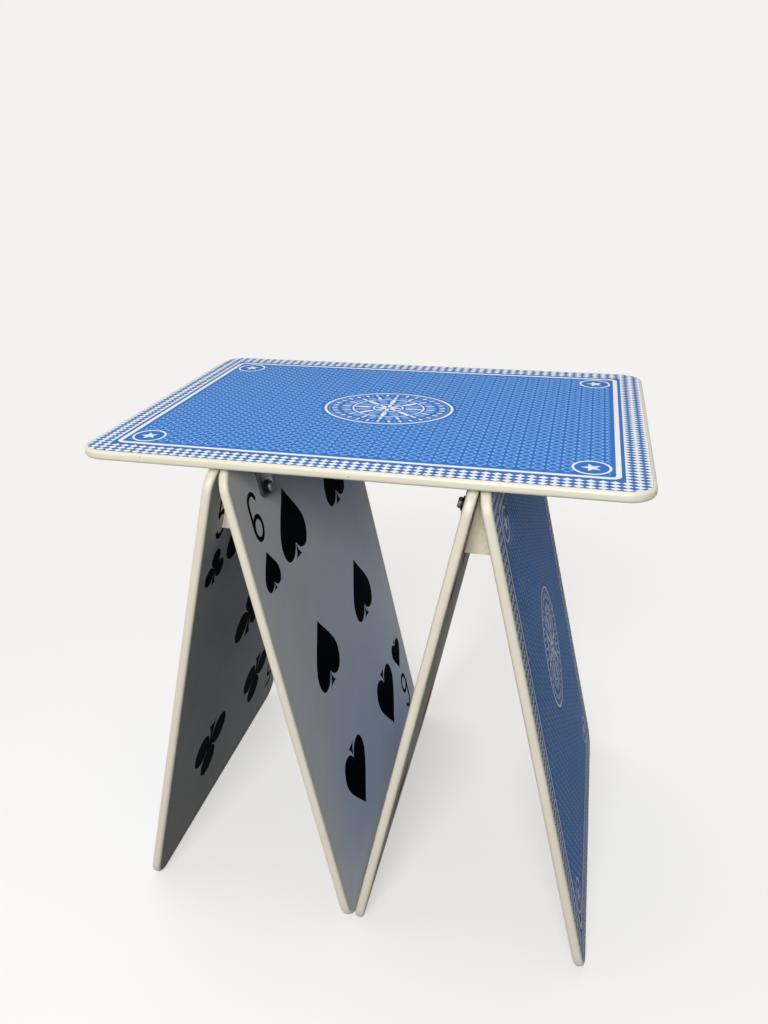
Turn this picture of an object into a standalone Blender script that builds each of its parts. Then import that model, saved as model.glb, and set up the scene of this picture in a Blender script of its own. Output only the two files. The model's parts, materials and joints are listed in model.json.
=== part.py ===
"""Card table: five giant playing cards set up as a house of cards.

Two pairs of leaning cards carry a fifth one laid flat. Each pair meets at its
top over a wedge rail, and the two middle cards meet at the floor. Units are
metres, +Z is up, X runs along the top's long side, and the origin is on the
floor under the middle of the top.
"""

import math

import bmesh
import bpy
from mathutils import Matrix, Vector

# The cards: all five boards are the same size
card_length = 0.500
card_width = 0.360
card_thickness = 0.009
corner_radius = 0.024
edge_radius = 0.0032
slant_angle = math.radians(12.3)

# Clearance between pieces that touch, and the overrun of every cut
fit_gap = 0.0003
cut_overrun = 0.002
weld_distance = 0.000001

# The printed sheets, let into both faces of every card
print_thickness = 0.0006
print_rim = 0.0001

# The worn strip that each leg stands on
foot_flat_depth = 0.00025

# The wedge rails inside the two tops of the house
wedge_end_setback = 0.042
wedge_bottom_down_board = 0.076
wedge_tip_width = 0.004

# Bolts through the inner legs, with their washers and threaded inserts
bolt_down_board = 0.045
bolt_from_edge = 0.074
bolt_radius = 0.003
bolt_head_radius = 0.00525
bolt_head_height = 0.0033
bolt_socket_across = 0.004
bolt_socket_depth = 0.0018
bolt_end_margin = 0.001
washer_radius = 0.0070
washer_thickness = 0.0016
insert_wall = 0.0012
insert_length = 0.012

# Countersunk screws through the outer legs into the wedge rails
leg_screw_down_board = 0.043
leg_screw_beyond_bolt = 0.010
leg_screw_radius = 0.0024
leg_screw_head_radius = 0.0048
leg_screw_grip = 0.014
leg_screw_socket_across = 0.003
leg_screw_socket_depth = 0.0015

# Bent strip brackets between the inner legs and the top
bracket_width = 0.028
bracket_thickness = 0.0025
bracket_bend_radius = 0.0025
bracket_end_margin = 0.0078
bracket_corner_radius = 0.0065
bracket_first_screw = 0.018
bracket_screw_pitch = 0.020
bracket_screw_radius = 0.002
bracket_screw_head_radius = 0.004
bracket_screw_head_height = 0.0026
bracket_screw_bite = 0.0062
bracket_screw_socket_across = 0.0025
bracket_screw_socket_depth = 0.0012

# Counts of segments
corner_segments = 8
edge_segments = 3
bend_segments = 5
end_segments = 4
turned_steps = 18
head_segments = 4
smooth_angle = math.radians(35)

# How far one leg reaches to each side of its own middle, with its edges rounded
core_half_length = card_length / 2 - edge_radius
core_half_thickness = card_thickness / 2 - edge_radius
leg_half_span = (
    core_half_length * math.sin(slant_angle)
    + core_half_thickness * math.cos(slant_angle)
    + edge_radius
)
leg_half_height = (
    core_half_length * math.cos(slant_angle)
    + core_half_thickness * math.sin(slant_angle)
    + edge_radius
)
inner_leg_x = leg_half_span + fit_gap / 2
outer_leg_x = inner_leg_x + 2 * leg_half_span + fit_gap
apex_x = (inner_leg_x + outer_leg_x) / 2
leg_z = leg_half_height - foot_flat_depth
underside_z = leg_z + leg_half_height + fit_gap
top_z = underside_z + card_thickness / 2

# Sheets and their recesses
recess_depth = print_thickness + fit_gap
print_inset = edge_radius + print_rim + fit_gap

# Stack on the open side of an inner leg, counted out from the card's face
bracket_base = fit_gap
washer_base = bracket_base + bracket_thickness + fit_gap
bolt_head_base = washer_base + washer_thickness + fit_gap
insert_start = card_thickness + 2 * fit_gap
bolt_reach = insert_start + insert_length - bolt_end_margin
bolt_hole_radius = bolt_radius + fit_gap
insert_radius = bolt_hole_radius + insert_wall
pocket_radius = insert_radius + fit_gap
pocket_depth = insert_start + insert_length + fit_gap
leg_screw_reach = card_thickness + leg_screw_grip
bolt_y = card_width / 2 - bolt_from_edge
leg_screw_y = bolt_y + leg_screw_beyond_bolt
bracket_screw_reach = bracket_thickness + fit_gap + bracket_screw_bite

# The wedge rail's section: the leg faces inside each top meet at the apex line
face_meets_axis = (
    inner_leg_x - apex_x + card_thickness / 2 * math.cos(slant_angle)
) / math.sin(slant_angle)
apex_z = (
    leg_z
    - face_meets_axis * math.cos(slant_angle)
    - card_thickness / 2 * math.sin(slant_angle)
)
wedge_side_gap = fit_gap / math.cos(slant_angle)
wedge_top_z = apex_z - (wedge_tip_width / 2 + wedge_side_gap) / math.tan(slant_angle)
wedge_bottom_z = (
    leg_z
    + (card_length / 2 - wedge_bottom_down_board) * math.cos(slant_angle)
    - card_thickness / 2 * math.sin(slant_angle)
)


def clear_scene():
    """Remove everything that the new scene starts with."""
    for thing in list(bpy.data.objects):
        bpy.data.objects.remove(thing, do_unlink=True)


def new_collection(name, shown):
    """Add a collection to the scene; a collection of cutters isn't rendered."""
    collection = bpy.data.collections.new(name)
    collection.hide_render = not shown
    bpy.context.scene.collection.children.link(collection)
    return collection


def make_material(name, colour, roughness, metallic):
    """A plain surface with one colour."""
    material = bpy.data.materials.new(name)
    material.use_nodes = True
    shader = material.node_tree.nodes["Principled BSDF"]
    shader.inputs["Base Color"].default_value = (*colour, 1.0)
    shader.inputs["Roughness"].default_value = roughness
    shader.inputs["Metallic"].default_value = metallic
    return material


def finish_mesh(name, shape):
    """Turn a bmesh into mesh data with smooth rounds and sharp corners."""
    bmesh.ops.recalc_face_normals(shape, faces=shape.faces)
    mesh = bpy.data.meshes.new(name)
    shape.to_mesh(mesh)
    shape.free()
    mesh.shade_smooth()
    mesh.set_sharp_from_angle(angle=smooth_angle)
    return mesh


def add_part(name, mesh, material, place=None):
    """One named piece of the table, at its place."""
    part = bpy.data.objects.new(name, mesh)
    part.data.materials.clear()
    part.data.materials.append(material)
    part.matrix_world = place or Matrix.Identity(4)
    parts.objects.link(part)
    return part


def add_cutter(name, shape):
    """A helper solid that only takes material away."""
    cutter = bpy.data.objects.new(name, finish_mesh(name, shape))
    cutter.hide_render = True
    cutter.display_type = "WIRE"
    cutters.objects.link(cutter)
    return cutter


def cut(part, cutter):
    """Take the cutter's volume out of the piece."""
    boolean = part.modifiers.new("cut_" + cutter.name, "BOOLEAN")
    boolean.operation = "DIFFERENCE"
    boolean.solver = "EXACT"
    boolean.object = cutter


def rounded_slab(length, width, thickness, radius):
    """A flat slab about the origin whose four upright corners are rounded."""
    slab = bmesh.new()
    bmesh.ops.create_cube(slab, size=1.0)
    bmesh.ops.scale(slab, vec=(length, width, thickness), verts=slab.verts)
    upright = [e for e in slab.edges if e.verts[0].co.z * e.verts[1].co.z < 0]
    bmesh.ops.bevel(
        slab,
        geom=upright,
        offset=radius,
        offset_type="OFFSET",
        segments=corner_segments,
        profile=0.5,
        affect="EDGES",
    )
    return slab


def card_board():
    """A card's board: rounded all round its edge, with a shallow recess in each face."""
    board = rounded_slab(card_length, card_width, card_thickness, corner_radius)
    rim = [e for e in board.edges if e.verts[0].co.z * e.verts[1].co.z > 0]
    bmesh.ops.bevel(
        board,
        geom=rim,
        offset=edge_radius,
        offset_type="OFFSET",
        segments=edge_segments,
        profile=0.5,
        affect="EDGES",
    )
    for face in sorted(board.faces, key=lambda f: f.calc_area())[-2:]:
        bmesh.ops.inset_individual(board, faces=[face], thickness=print_rim, depth=0.0)
        floor = bmesh.ops.extrude_discrete_faces(board, faces=[face])["faces"][0]
        sunk = -recess_depth if floor.calc_center_median().z > 0 else recess_depth
        bmesh.ops.translate(board, vec=(0.0, 0.0, sunk), verts=floor.verts)
    return finish_mesh("card_board", board)


def print_sheet():
    """The printed sheet that fills a recess, flush with the card's face."""
    sheet = rounded_slab(
        card_length - 2 * print_inset,
        card_width - 2 * print_inset,
        print_thickness,
        corner_radius - print_inset,
    )
    return finish_mesh("print_sheet", sheet)


def leg_frame(centre_x, slant):
    """A leg's own frame: X up along the card, Y across it, Z out of its face."""
    turn = Matrix.Rotation(-(math.pi / 2 + slant), 4, "Y")
    return Matrix.Translation((centre_x, 0.0, leg_z)) @ turn


def on_face(frame, down, across, side):
    """A frame on a card's face, Z pointing out, given the distance down from the card's top end."""
    place = Matrix.Translation((card_length / 2 - down, across, side * card_thickness / 2))
    flip = Matrix.Rotation(0.0 if side > 0 else math.pi, 4, "X")
    return frame @ place @ flip


def add_turned(shape, profile, place=None):
    """Add a solid turned about the Z axis of a frame from (radius, height) points."""
    before = set(shape.verts)
    points = [shape.verts.new((radius, 0.0, height)) for radius, height in profile]
    lines = [shape.edges.new(pair) for pair in zip(points, points[1:])]
    if profile[0][0] > 0:
        lines.append(shape.edges.new((points[-1], points[0])))
    bmesh.ops.spin(
        shape,
        geom=points + lines,
        cent=(0.0, 0.0, 0.0),
        axis=(0.0, 0.0, 1.0),
        angle=2 * math.pi,
        steps=turned_steps,
        use_merge=True,
    )
    fresh = [v for v in shape.verts if v not in before]
    bmesh.ops.remove_doubles(shape, verts=fresh, dist=weld_distance)
    fresh = [v for v in shape.verts if v not in before]
    bmesh.ops.transform(shape, matrix=place or Matrix.Identity(4), verts=fresh)


def add_drill(shape, radius, low, high, place, sides=turned_steps):
    """Add a cylinder or prism that runs from low to high along the Z axis of a frame."""
    middle = Matrix.Translation((0.0, 0.0, (low + high) / 2))
    bmesh.ops.create_cone(
        shape,
        cap_ends=True,
        segments=sides,
        radius1=radius,
        radius2=radius,
        depth=high - low,
        matrix=place @ middle,
    )


def button_head(head_radius, head_height, shank_radius, base, reach):
    """Half the outline of a button head screw, from its tip to the crown of its head."""
    tip = shank_radius / 2
    outline = [(0.0, -reach), (shank_radius - tip, -reach), (shank_radius, tip - reach)]
    outline += [(shank_radius, base), (head_radius, base)]
    lip = head_height / 4
    crown_radius = head_radius / 2
    for step in range(head_segments + 1):
        angle = math.pi / 2 * step / head_segments
        radius = crown_radius + (head_radius - crown_radius) * math.cos(angle)
        outline.append((radius, base + lip + (head_height - lip) * math.sin(angle)))
    outline.append((0.0, base + head_height))
    return outline


def make_cards():
    """The five boards with a sheet in each face, as a table of their parts."""
    cards = {}
    board, sheet = card_board(), print_sheet()
    for name, (frame, back_side) in card_places.items():
        cards[name] = {"board": add_part(name + "_board", board.copy(), ivory_paint, frame)}
        for kind, side, material in (
            ("back", back_side, blue_print),
            ("face", -back_side, white_print),
        ):
            lift = Matrix.Translation((0.0, 0.0, side * (card_thickness - print_thickness) / 2))
            part = add_part(f"{name}_{kind}_print", sheet.copy(), material, frame @ lift)
            cards[name][side] = part
    return cards


def make_wedge(name, x):
    """The tapered rail that fills the top of one pair of legs."""
    half_length = card_width / 2 - wedge_end_setback
    section = []
    for z in (wedge_bottom_z, wedge_top_z):
        reach = (apex_z - z) * math.tan(slant_angle) - wedge_side_gap
        section.append((reach, z))
    (low_reach, low_z), (high_reach, high_z) = section
    shape = bmesh.new()
    corners = [(-low_reach, low_z), (low_reach, low_z), (high_reach, high_z), (-high_reach, high_z)]
    end = shape.faces.new([shape.verts.new((x + dx, -half_length, z)) for dx, z in corners])
    run = bmesh.ops.extrude_face_region(shape, geom=[end], use_keep_orig=True)
    moved = [v for v in run["geom"] if isinstance(v, bmesh.types.BMVert)]
    bmesh.ops.translate(shape, vec=(0.0, 2 * half_length, 0.0), verts=moved)
    return add_part(name, finish_mesh(name, shape), ivory_paint)


def bracket_path(side):
    """The line that a bracket's outer face follows in the XZ plane, with the half width there."""
    frame = leg_frame(side * inner_leg_x, -side * slant_angle)
    up = (frame.to_3x3() @ Vector((1.0, 0.0, 0.0))).normalized()
    bolt = on_face(frame, bolt_down_board, 0.0, side) @ Vector((0.0, 0.0, bracket_base))
    ceiling = underside_z - fit_gap
    corner = bolt + up * ((ceiling - bolt.z) / up.z)
    out = Vector((-side, 0.0, 0.0))
    inner_angle = math.pi / 2 - slant_angle
    outer_radius = bracket_bend_radius + bracket_thickness
    tangent = outer_radius / math.tan(inner_angle / 2)
    straight = bracket_end_margin - bracket_corner_radius
    half_width = bracket_width / 2
    narrowing = []
    for step in range(end_segments + 1):
        angle = math.pi / 2 * step / end_segments
        beyond = straight + bracket_corner_radius * math.cos(angle)
        narrowing.append((beyond, half_width - bracket_corner_radius * (1 - math.sin(angle))))
    path = [(bolt - up * beyond, width) for beyond, width in narrowing]
    start = corner - up * tangent
    centre = start + Vector((-up.z, 0.0, up.x)) * side * outer_radius
    for step in range(bend_segments + 1):
        turn = -side * (math.pi - inner_angle) * step / bend_segments
        arm = Matrix.Rotation(turn, 3, "Y") @ (start - centre)
        path.append((centre + arm, half_width))
    last_screw = corner + out * (bracket_first_screw + bracket_screw_pitch)
    path += [(last_screw + out * beyond, width) for beyond, width in reversed(narrowing)]
    return path, corner, out


def make_bracket(name, side, y):
    """A steel strip with round ends, bent to lie on an inner leg and under the top."""
    path, corner, out = bracket_path(side)
    shape = bmesh.new()
    rows = []
    for point, half_width in path:
        rows.append([shape.verts.new((point.x, y + half_width * s, point.z)) for s in (-1, 1)])
    for (a, b), (c, d) in zip(rows, rows[1:]):
        shape.faces.new((a, b, d, c))
    bmesh.ops.recalc_face_normals(shape, faces=shape.faces)
    leaf = max(shape.faces, key=lambda f: f.calc_center_median().z)
    if leaf.normal.z < 0:
        bmesh.ops.reverse_faces(shape, faces=shape.faces)
    bmesh.ops.solidify(shape, geom=shape.faces, thickness=bracket_thickness)
    bracket = add_part(name + "_bracket", finish_mesh(name, shape), zinc_steel)
    screws = {}
    for where, distance in (
        ("inner", bracket_first_screw + bracket_screw_pitch),
        ("outer", bracket_first_screw),
    ):
        spot = Matrix.Translation((corner.x + out.x * distance, y, underside_z))
        screws[f"{name}_{where}"] = spot @ Matrix.Rotation(math.pi, 4, "X")
    return bracket, screws


def drill_all(name, places, radius, low, high):
    """One cutter with a cylinder at each place."""
    shape = bmesh.new()
    for place in places.values():
        add_drill(shape, radius, low, high, place)
    return add_cutter(name, shape)


def add_copies(name, mesh, places, material):
    """The same small piece at each of the named places."""
    for where, place in places.items():
        add_part(f"{where}_{name}", mesh.copy(), material, place)


def socket_screw(name, outline, across_flats, low, high):
    """The mesh of a turned screw with a hexagon socket in its head."""
    shape = bmesh.new()
    add_turned(shape, outline)
    blank = add_cutter(name + "_blank", shape)
    socket = bmesh.new()
    corner = across_flats / math.sqrt(3)
    add_drill(socket, corner, low, high, Matrix.Identity(4), sides=6)
    cut(blank, add_cutter(name + "_socket", socket))
    bpy.context.view_layer.update()
    graph = bpy.context.evaluated_depsgraph_get()
    return bpy.data.meshes.new_from_object(blank.evaluated_get(graph))


def plain_ring(name, inner, outer, low, high):
    """The mesh of a washer or a sleeve."""
    shape = bmesh.new()
    add_turned(shape, [(inner, low), (outer, low), (outer, high), (inner, high)])
    return finish_mesh(name, shape)


def cut_leg_bolts(cards, wedges, brackets, places):
    """Holes for the bolts through brackets, inner legs and sheets, and pockets in the wedges."""
    holes = drill_all(
        "bolt_holes",
        places,
        bolt_hole_radius,
        -card_thickness - cut_overrun,
        bolt_head_base + cut_overrun,
    )
    pockets = drill_all("insert_pockets", places, pocket_radius, -pocket_depth, -card_thickness)
    for name in ("inner_left", "inner_right"):
        for piece in cards[name].values():
            cut(piece, holes)
    for bracket in brackets:
        cut(bracket, holes)
    for wedge in wedges:
        cut(wedge, pockets)


def cut_leg_screws(cards, wedges, places):
    """Countersunk holes in the outer legs and pilot holes in the wedges."""
    hole_radius = leg_screw_radius + fit_gap
    mouth_radius = leg_screw_head_radius + fit_gap
    holes = drill_all(
        "leg_screw_holes",
        places,
        hole_radius,
        -leg_screw_reach - fit_gap,
        cut_overrun,
    )
    mouths = bmesh.new()
    sink = mouth_radius - hole_radius
    for place in places.values():
        outline = [(0.0, -sink - fit_gap), (hole_radius, -sink - fit_gap), (mouth_radius, -fit_gap)]
        outline += [(mouth_radius, cut_overrun), (0.0, cut_overrun)]
        add_turned(mouths, outline, place)
    countersinks = add_cutter("leg_screw_countersinks", mouths)
    for name in ("outer_left", "outer_right"):
        for piece in cards[name].values():
            cut(piece, holes)
        back_side = card_places[name][1]
        cut(cards[name]["board"], countersinks)
        cut(cards[name][back_side], countersinks)
    for wedge in wedges:
        cut(wedge, holes)


def make_leg_screws(places):
    """The dark countersunk screws that hold the outer legs to the wedges."""
    sink = leg_screw_head_radius - leg_screw_radius
    tip = leg_screw_radius
    outline = [(0.0, -leg_screw_reach), (leg_screw_radius, tip - leg_screw_reach)]
    outline += [(leg_screw_radius, -sink - fit_gap), (leg_screw_head_radius, -fit_gap)]
    outline += [(leg_screw_head_radius, 0.0), (0.0, 0.0)]
    mesh = socket_screw(
        "leg_screw",
        outline,
        leg_screw_socket_across,
        -leg_screw_socket_depth,
        cut_overrun,
    )
    add_copies("leg_screw", mesh, places, black_steel)


def make_bracket_screws(cards, brackets, places):
    """The screws that hold the brackets up under the top, and their holes."""
    reach = bracket_screw_reach
    head_base = fit_gap + bracket_thickness + fit_gap
    bite = bracket_screw_bite + fit_gap
    holes = drill_all(
        "bracket_screw_holes",
        places,
        bracket_screw_radius + fit_gap,
        -bite,
        head_base + cut_overrun,
    )
    for piece in (cards["top"]["board"], cards["top"][-1], *brackets):
        cut(piece, holes)
    outline = button_head(
        bracket_screw_head_radius,
        bracket_screw_head_height,
        bracket_screw_radius,
        head_base,
        reach - bracket_thickness - fit_gap,
    )
    crown = head_base + bracket_screw_head_height
    mesh = socket_screw(
        "bracket_screw",
        outline,
        bracket_screw_socket_across,
        crown - bracket_screw_socket_depth,
        crown + cut_overrun,
    )
    add_copies("bracket_screw", mesh, places, zinc_steel)


def make_bolts(places):
    """Button head bolts with washers outside and threaded inserts in the wedges."""
    outline = button_head(bolt_head_radius, bolt_head_height, bolt_radius, bolt_head_base, bolt_reach)
    crown = bolt_head_base + bolt_head_height
    mesh = socket_screw(
        "bolt",
        outline,
        bolt_socket_across,
        crown - bolt_socket_depth,
        crown + cut_overrun,
    )
    add_copies("bolt", mesh, places, zinc_steel)
    washer_top = washer_base + washer_thickness
    washer = plain_ring("washer", bolt_hole_radius, washer_radius, washer_base, washer_top)
    add_copies("washer", washer, places, zinc_steel)
    insert_end = -insert_start - insert_length
    insert = plain_ring("insert", bolt_hole_radius, insert_radius, insert_end, -insert_start)
    add_copies("threaded_insert", insert, places, brass)


def cut_feet(cards):
    """Level the lowest edge of each leg where it stands."""
    ground = bmesh.new()
    bmesh.ops.create_cube(ground, size=1.0)
    bmesh.ops.scale(ground, vec=(2 * card_length, 2 * card_width, card_thickness), verts=ground.verts)
    bmesh.ops.translate(ground, vec=(0.0, 0.0, -card_thickness / 2), verts=ground.verts)
    cutter = add_cutter("ground", ground)
    for name, pieces in cards.items():
        if name != "top":
            cut(pieces["board"], cutter)


clear_scene()
parts = new_collection("card_table", shown=True)
cutters = new_collection("cutters", shown=False)

ivory_paint = make_material("ivory_paint", (0.78, 0.74, 0.61), 0.35, 0.0)
blue_print = make_material("blue_print", (0.05, 0.17, 0.57), 0.2, 0.0)
white_print = make_material("white_print", (0.80, 0.80, 0.77), 0.15, 0.0)
zinc_steel = make_material("zinc_steel", (0.55, 0.56, 0.57), 0.35, 1.0)
black_steel = make_material("black_steel", (0.02, 0.02, 0.02), 0.4, 0.6)
brass = make_material("brass", (0.78, 0.57, 0.22), 0.35, 1.0)

# Each card's frame, and the side of it (+1 or -1 along its own Z) that shows the card's back
card_places = {
    "top": (Matrix.Translation((0.0, 0.0, top_z)), 1),
    "outer_left": (leg_frame(-outer_leg_x, -slant_angle), 1),
    "inner_left": (leg_frame(-inner_leg_x, slant_angle), 1),
    "inner_right": (leg_frame(inner_leg_x, -slant_angle), 1),
    "outer_right": (leg_frame(outer_leg_x, slant_angle), -1),
}

all_cards = make_cards()
all_wedges = [make_wedge("left_wedge_rail", -apex_x), make_wedge("right_wedge_rail", apex_x)]

all_brackets = []
bracket_screw_places = {}
bolt_places = {}
leg_screw_places = {}
for side_name, side in (("left", -1), ("right", 1)):
    inner_frame = card_places["inner_" + side_name][0]
    outer_frame = card_places["outer_" + side_name][0]
    for end_name, end in (("front", -1), ("rear", 1)):
        corner_name = f"{end_name}_{side_name}"
        new_bracket, new_screws = make_bracket(corner_name, side, end * bolt_y)
        all_brackets.append(new_bracket)
        bracket_screw_places.update(new_screws)
        bolt_places[corner_name] = on_face(inner_frame, bolt_down_board, end * bolt_y, side)
        leg_screw_places[corner_name] = on_face(
            outer_frame,
            leg_screw_down_board,
            end * leg_screw_y,
            -side,
        )

cut_leg_bolts(all_cards, all_wedges, all_brackets, bolt_places)
make_bolts(bolt_places)
cut_leg_screws(all_cards, all_wedges, leg_screw_places)
make_leg_screws(leg_screw_places)
make_bracket_screws(all_cards, all_brackets, bracket_screw_places)
cut_feet(all_cards)
bpy.context.view_layer.update()
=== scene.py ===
"""Looks of a card table: five giant playing cards set up as a house of cards.

The boards, printed sheets, rails and fasteners are modelled again at the places
that the CAD model gives them, at a finer grain, and dressed: satin ivory paint on
the boards, satin laminate with the printed backs and faces, and plated hardware.
Units are metres, +Z is up, and X runs along the top's long side.
"""

import json
import logging
import math
from dataclasses import dataclass, field
from enum import Enum
from functools import partial
from typing import Callable, Iterable, Union

import bmesh
import bpy
from bmesh.types import BMEdge, BMesh, BMFace, BMVert
from bpy.types import Material, Node, NodeSocket, NodeTree, Object
from mathutils import Matrix, Vector

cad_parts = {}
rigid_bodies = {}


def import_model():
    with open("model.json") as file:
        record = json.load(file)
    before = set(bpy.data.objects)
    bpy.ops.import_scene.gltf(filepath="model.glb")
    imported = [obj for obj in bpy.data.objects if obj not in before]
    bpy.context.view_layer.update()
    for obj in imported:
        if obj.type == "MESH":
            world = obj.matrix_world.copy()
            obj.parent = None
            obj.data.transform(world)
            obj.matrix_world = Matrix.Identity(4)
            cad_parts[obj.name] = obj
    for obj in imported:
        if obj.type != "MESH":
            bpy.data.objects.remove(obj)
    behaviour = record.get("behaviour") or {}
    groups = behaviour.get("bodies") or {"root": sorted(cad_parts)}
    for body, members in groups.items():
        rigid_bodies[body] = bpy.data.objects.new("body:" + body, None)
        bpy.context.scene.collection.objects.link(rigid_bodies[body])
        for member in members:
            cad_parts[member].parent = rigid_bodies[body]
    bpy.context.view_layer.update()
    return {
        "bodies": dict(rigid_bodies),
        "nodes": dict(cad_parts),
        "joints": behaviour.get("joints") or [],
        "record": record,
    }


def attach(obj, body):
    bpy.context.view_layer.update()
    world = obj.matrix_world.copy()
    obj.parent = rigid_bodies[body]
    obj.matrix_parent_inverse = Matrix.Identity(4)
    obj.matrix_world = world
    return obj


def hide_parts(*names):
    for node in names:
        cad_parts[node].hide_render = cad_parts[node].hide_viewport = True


log = logging.getLogger("card_table")

Pair = tuple[float, float]
Triple = tuple[float, float, float]
Value = Union[float, tuple, str, NodeSocket, Node]
AddNode = Callable[..., Node]

# The UV map that carries a sheet's print: U across the card and V up it, each from 0 to 1
PRINT_MAP = "card_print"

# Where nearly all of a noise's values lie
NOISE_RANGE = (0.3, 0.7)

SMOOTH_ANGLE = math.radians(35)
WELD = 0.000001
MM = 0.001


class Slot(Enum):
    """The material slots of the record."""

    IVORY_PAINT = "ivory_paint"
    BLUE_PRINT = "blue_print"
    WHITE_PRINT = "white_print"
    ZINC_STEEL = "zinc_steel"
    BLACK_STEEL = "black_steel"


class Suit(Enum):
    """The four suits of a pack of cards."""

    SPADE = "spade"
    CLUB = "club"
    HEART = "heart"
    DIAMOND = "diamond"


def linear(code: str) -> tuple[float, float, float, float]:
    """Turns an sRGB hex colour into the linear colour that a node takes.

    Args:
        code: Six hex digits.

    Returns:
        Linear red, green and blue, with an alpha of 1.
    """
    shares = [int(code[i : i + 2], 16) / 255 for i in (0, 2, 4)]
    red, green, blue = (s / 12.92 if s <= 0.04045 else ((s + 0.055) / 1.055) ** 2.4 for s in shares)
    return (red, green, blue, 1.0)


def add_node(
    tree: NodeTree,
    kind: str,
    inputs: Union[Iterable[Value], dict[str, Value]] = (),
    **settings: object,
) -> Node:
    """Adds a node with its settings and links.

    Args:
        tree: The node tree that gets the node.
        kind: The node's type name, less the ShaderNode that it starts with.
        inputs: What goes into its sockets in use, in their order or by their names: a number, a
            tuple, a hex colour, a socket, or a node, whose first output in use is then linked.
        settings: The node's own properties.

    Returns:
        The new node.
    """
    node = tree.nodes.new("ShaderNode" + kind)
    for name, setting in settings.items():
        setattr(node, name, setting)
    live = [socket for socket in node.inputs if socket.enabled]
    if isinstance(inputs, dict):
        pairs = [(next(s for s in live if s.name == name), value) for name, value in inputs.items()]
    else:
        pairs = list(zip(live, inputs))
    for socket, value in pairs:
        if isinstance(value, Node):
            value = next(out for out in value.outputs if out.enabled)
        if isinstance(value, NodeSocket):
            tree.links.new(value, socket)
        else:
            socket.default_value = linear(value) if isinstance(value, str) else value
    return node


def ray_shares(add: AddNode) -> tuple[NodeSocket, Node]:
    """Tells what the eye and the gloss see from what only lights the scene.

    Args:
        add: Adds a node to the tree in hand.

    Returns:
        1 for a ray from the camera, and 1 for a ray from gloss or glass.
    """
    ray = add("LightPath").outputs
    gloss = add("Math", (ray["Is Glossy Ray"], ray["Is Transmission Ray"]), operation="MAXIMUM")
    return ray["Is Camera Ray"], gloss


# --------------------------------------------------------------------------- finishes


@dataclass(frozen=True)
class Finish:
    """A finish: the name of its material, and the steps that make it."""

    name: str

    def material(self) -> Material:
        """The finish's material, made on first use.

        Returns:
            The material, the same one each time.
        """
        made = bpy.data.materials.get(self.name)
        if not made:
            made = bpy.data.materials.new(self.name)
            made.use_nodes = True
            made.node_tree.nodes.clear()
            add = partial(add_node, made.node_tree)
            add("OutputMaterial", (self.surface(add),))
        return made

    def surface(self, add: AddNode) -> Node:
        """Adds the finish's nodes to its empty tree, and returns the shader for the output."""
        raise NotImplementedError


@dataclass(frozen=True)
class Coat(Finish):
    """A finish whose roughness drifts to both sides of its usual value."""

    roughness: float = 0.5
    smoother: float = 0.04
    rougher: float = 0.06

    @property
    def drift(self) -> Pair:
        """Its least and its greatest roughness."""
        return (self.roughness - self.smoother, self.roughness + self.rougher)


@dataclass(frozen=True)
class SatinBoardPaint(Coat):
    """Satin paint sprayed on fibreboard: a soft sheen, faint orange peel, and a few dark nicks."""

    name: str = "satin_ivory_paint_on_fibreboard"
    colour: str = "e9e4d3"
    shade: str = "ddd6c1"
    nick: str = "a3987f"
    roughness: float = 0.38
    patch_mm: float = 60.0
    peel_mm: float = 2.4
    nick_pitch_mm: float = 8.0
    nick_edge_mm: float = 1.5
    nick_ragged: float = 0.17
    nick_trim: float = 0.02
    nick_depth: float = 1.5
    unmarked_share: float = 0.93
    smoother: float = 0.05
    rougher: float = 0.08

    def surface(self, add: AddNode) -> Node:
        """Adds the paint's nodes.

        Args:
            add: Adds a node to the material's empty tree.

        Returns:
            The Principled shader.
        """
        place = add("TexCoord").outputs["Object"]
        # Hands and light have yellowed the paint in soft patches
        patches = add("TexNoise", {"Vector": place, "Scale": 1000 / self.patch_mm, "Detail": 3.0})
        coat = add("Mix", (patches, self.colour, self.shade), data_type="RGBA")
        # Nicks: the cores of a few cells of a random grid, where the brown board shows
        cells = add("TexVoronoi", {"Vector": place, "Scale": 1000 / self.nick_pitch_mm}).outputs
        ragged = add("TexNoise", {"Vector": place, "Scale": 1000 / self.nick_edge_mm, "Detail": 2.0})
        size = add("Math", (ragged, self.nick_ragged, -self.nick_trim), operation="MULTIPLY_ADD")
        core = add("Math", (cells["Distance"], size), operation="LESS_THAN")
        pick = add("SeparateColor", (cells["Color"],))
        few = add("Math", (pick, self.unmarked_share), operation="GREATER_THAN")
        nicks = add("Math", (core, few), operation="MULTIPLY")
        colour = add("Mix", (nicks, coat, self.nick), data_type="RGBA")
        peel = add("TexNoise", {"Vector": place, "Scale": 1000 / self.peel_mm, "Detail": 2.0})
        dents = add("Math", (nicks, -self.nick_depth, peel), operation="MULTIPLY_ADD")
        bump = add("Bump", {"Height": dents, "Strength": 0.22, "Distance": 0.00025})
        rough = add("MapRange", (patches, *NOISE_RANGE, *self.drift))
        sockets = {"Base Color": colour, "Roughness": rough, "Normal": bump, "IOR": 1.5}
        return add("BsdfPrincipled", sockets)


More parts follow.
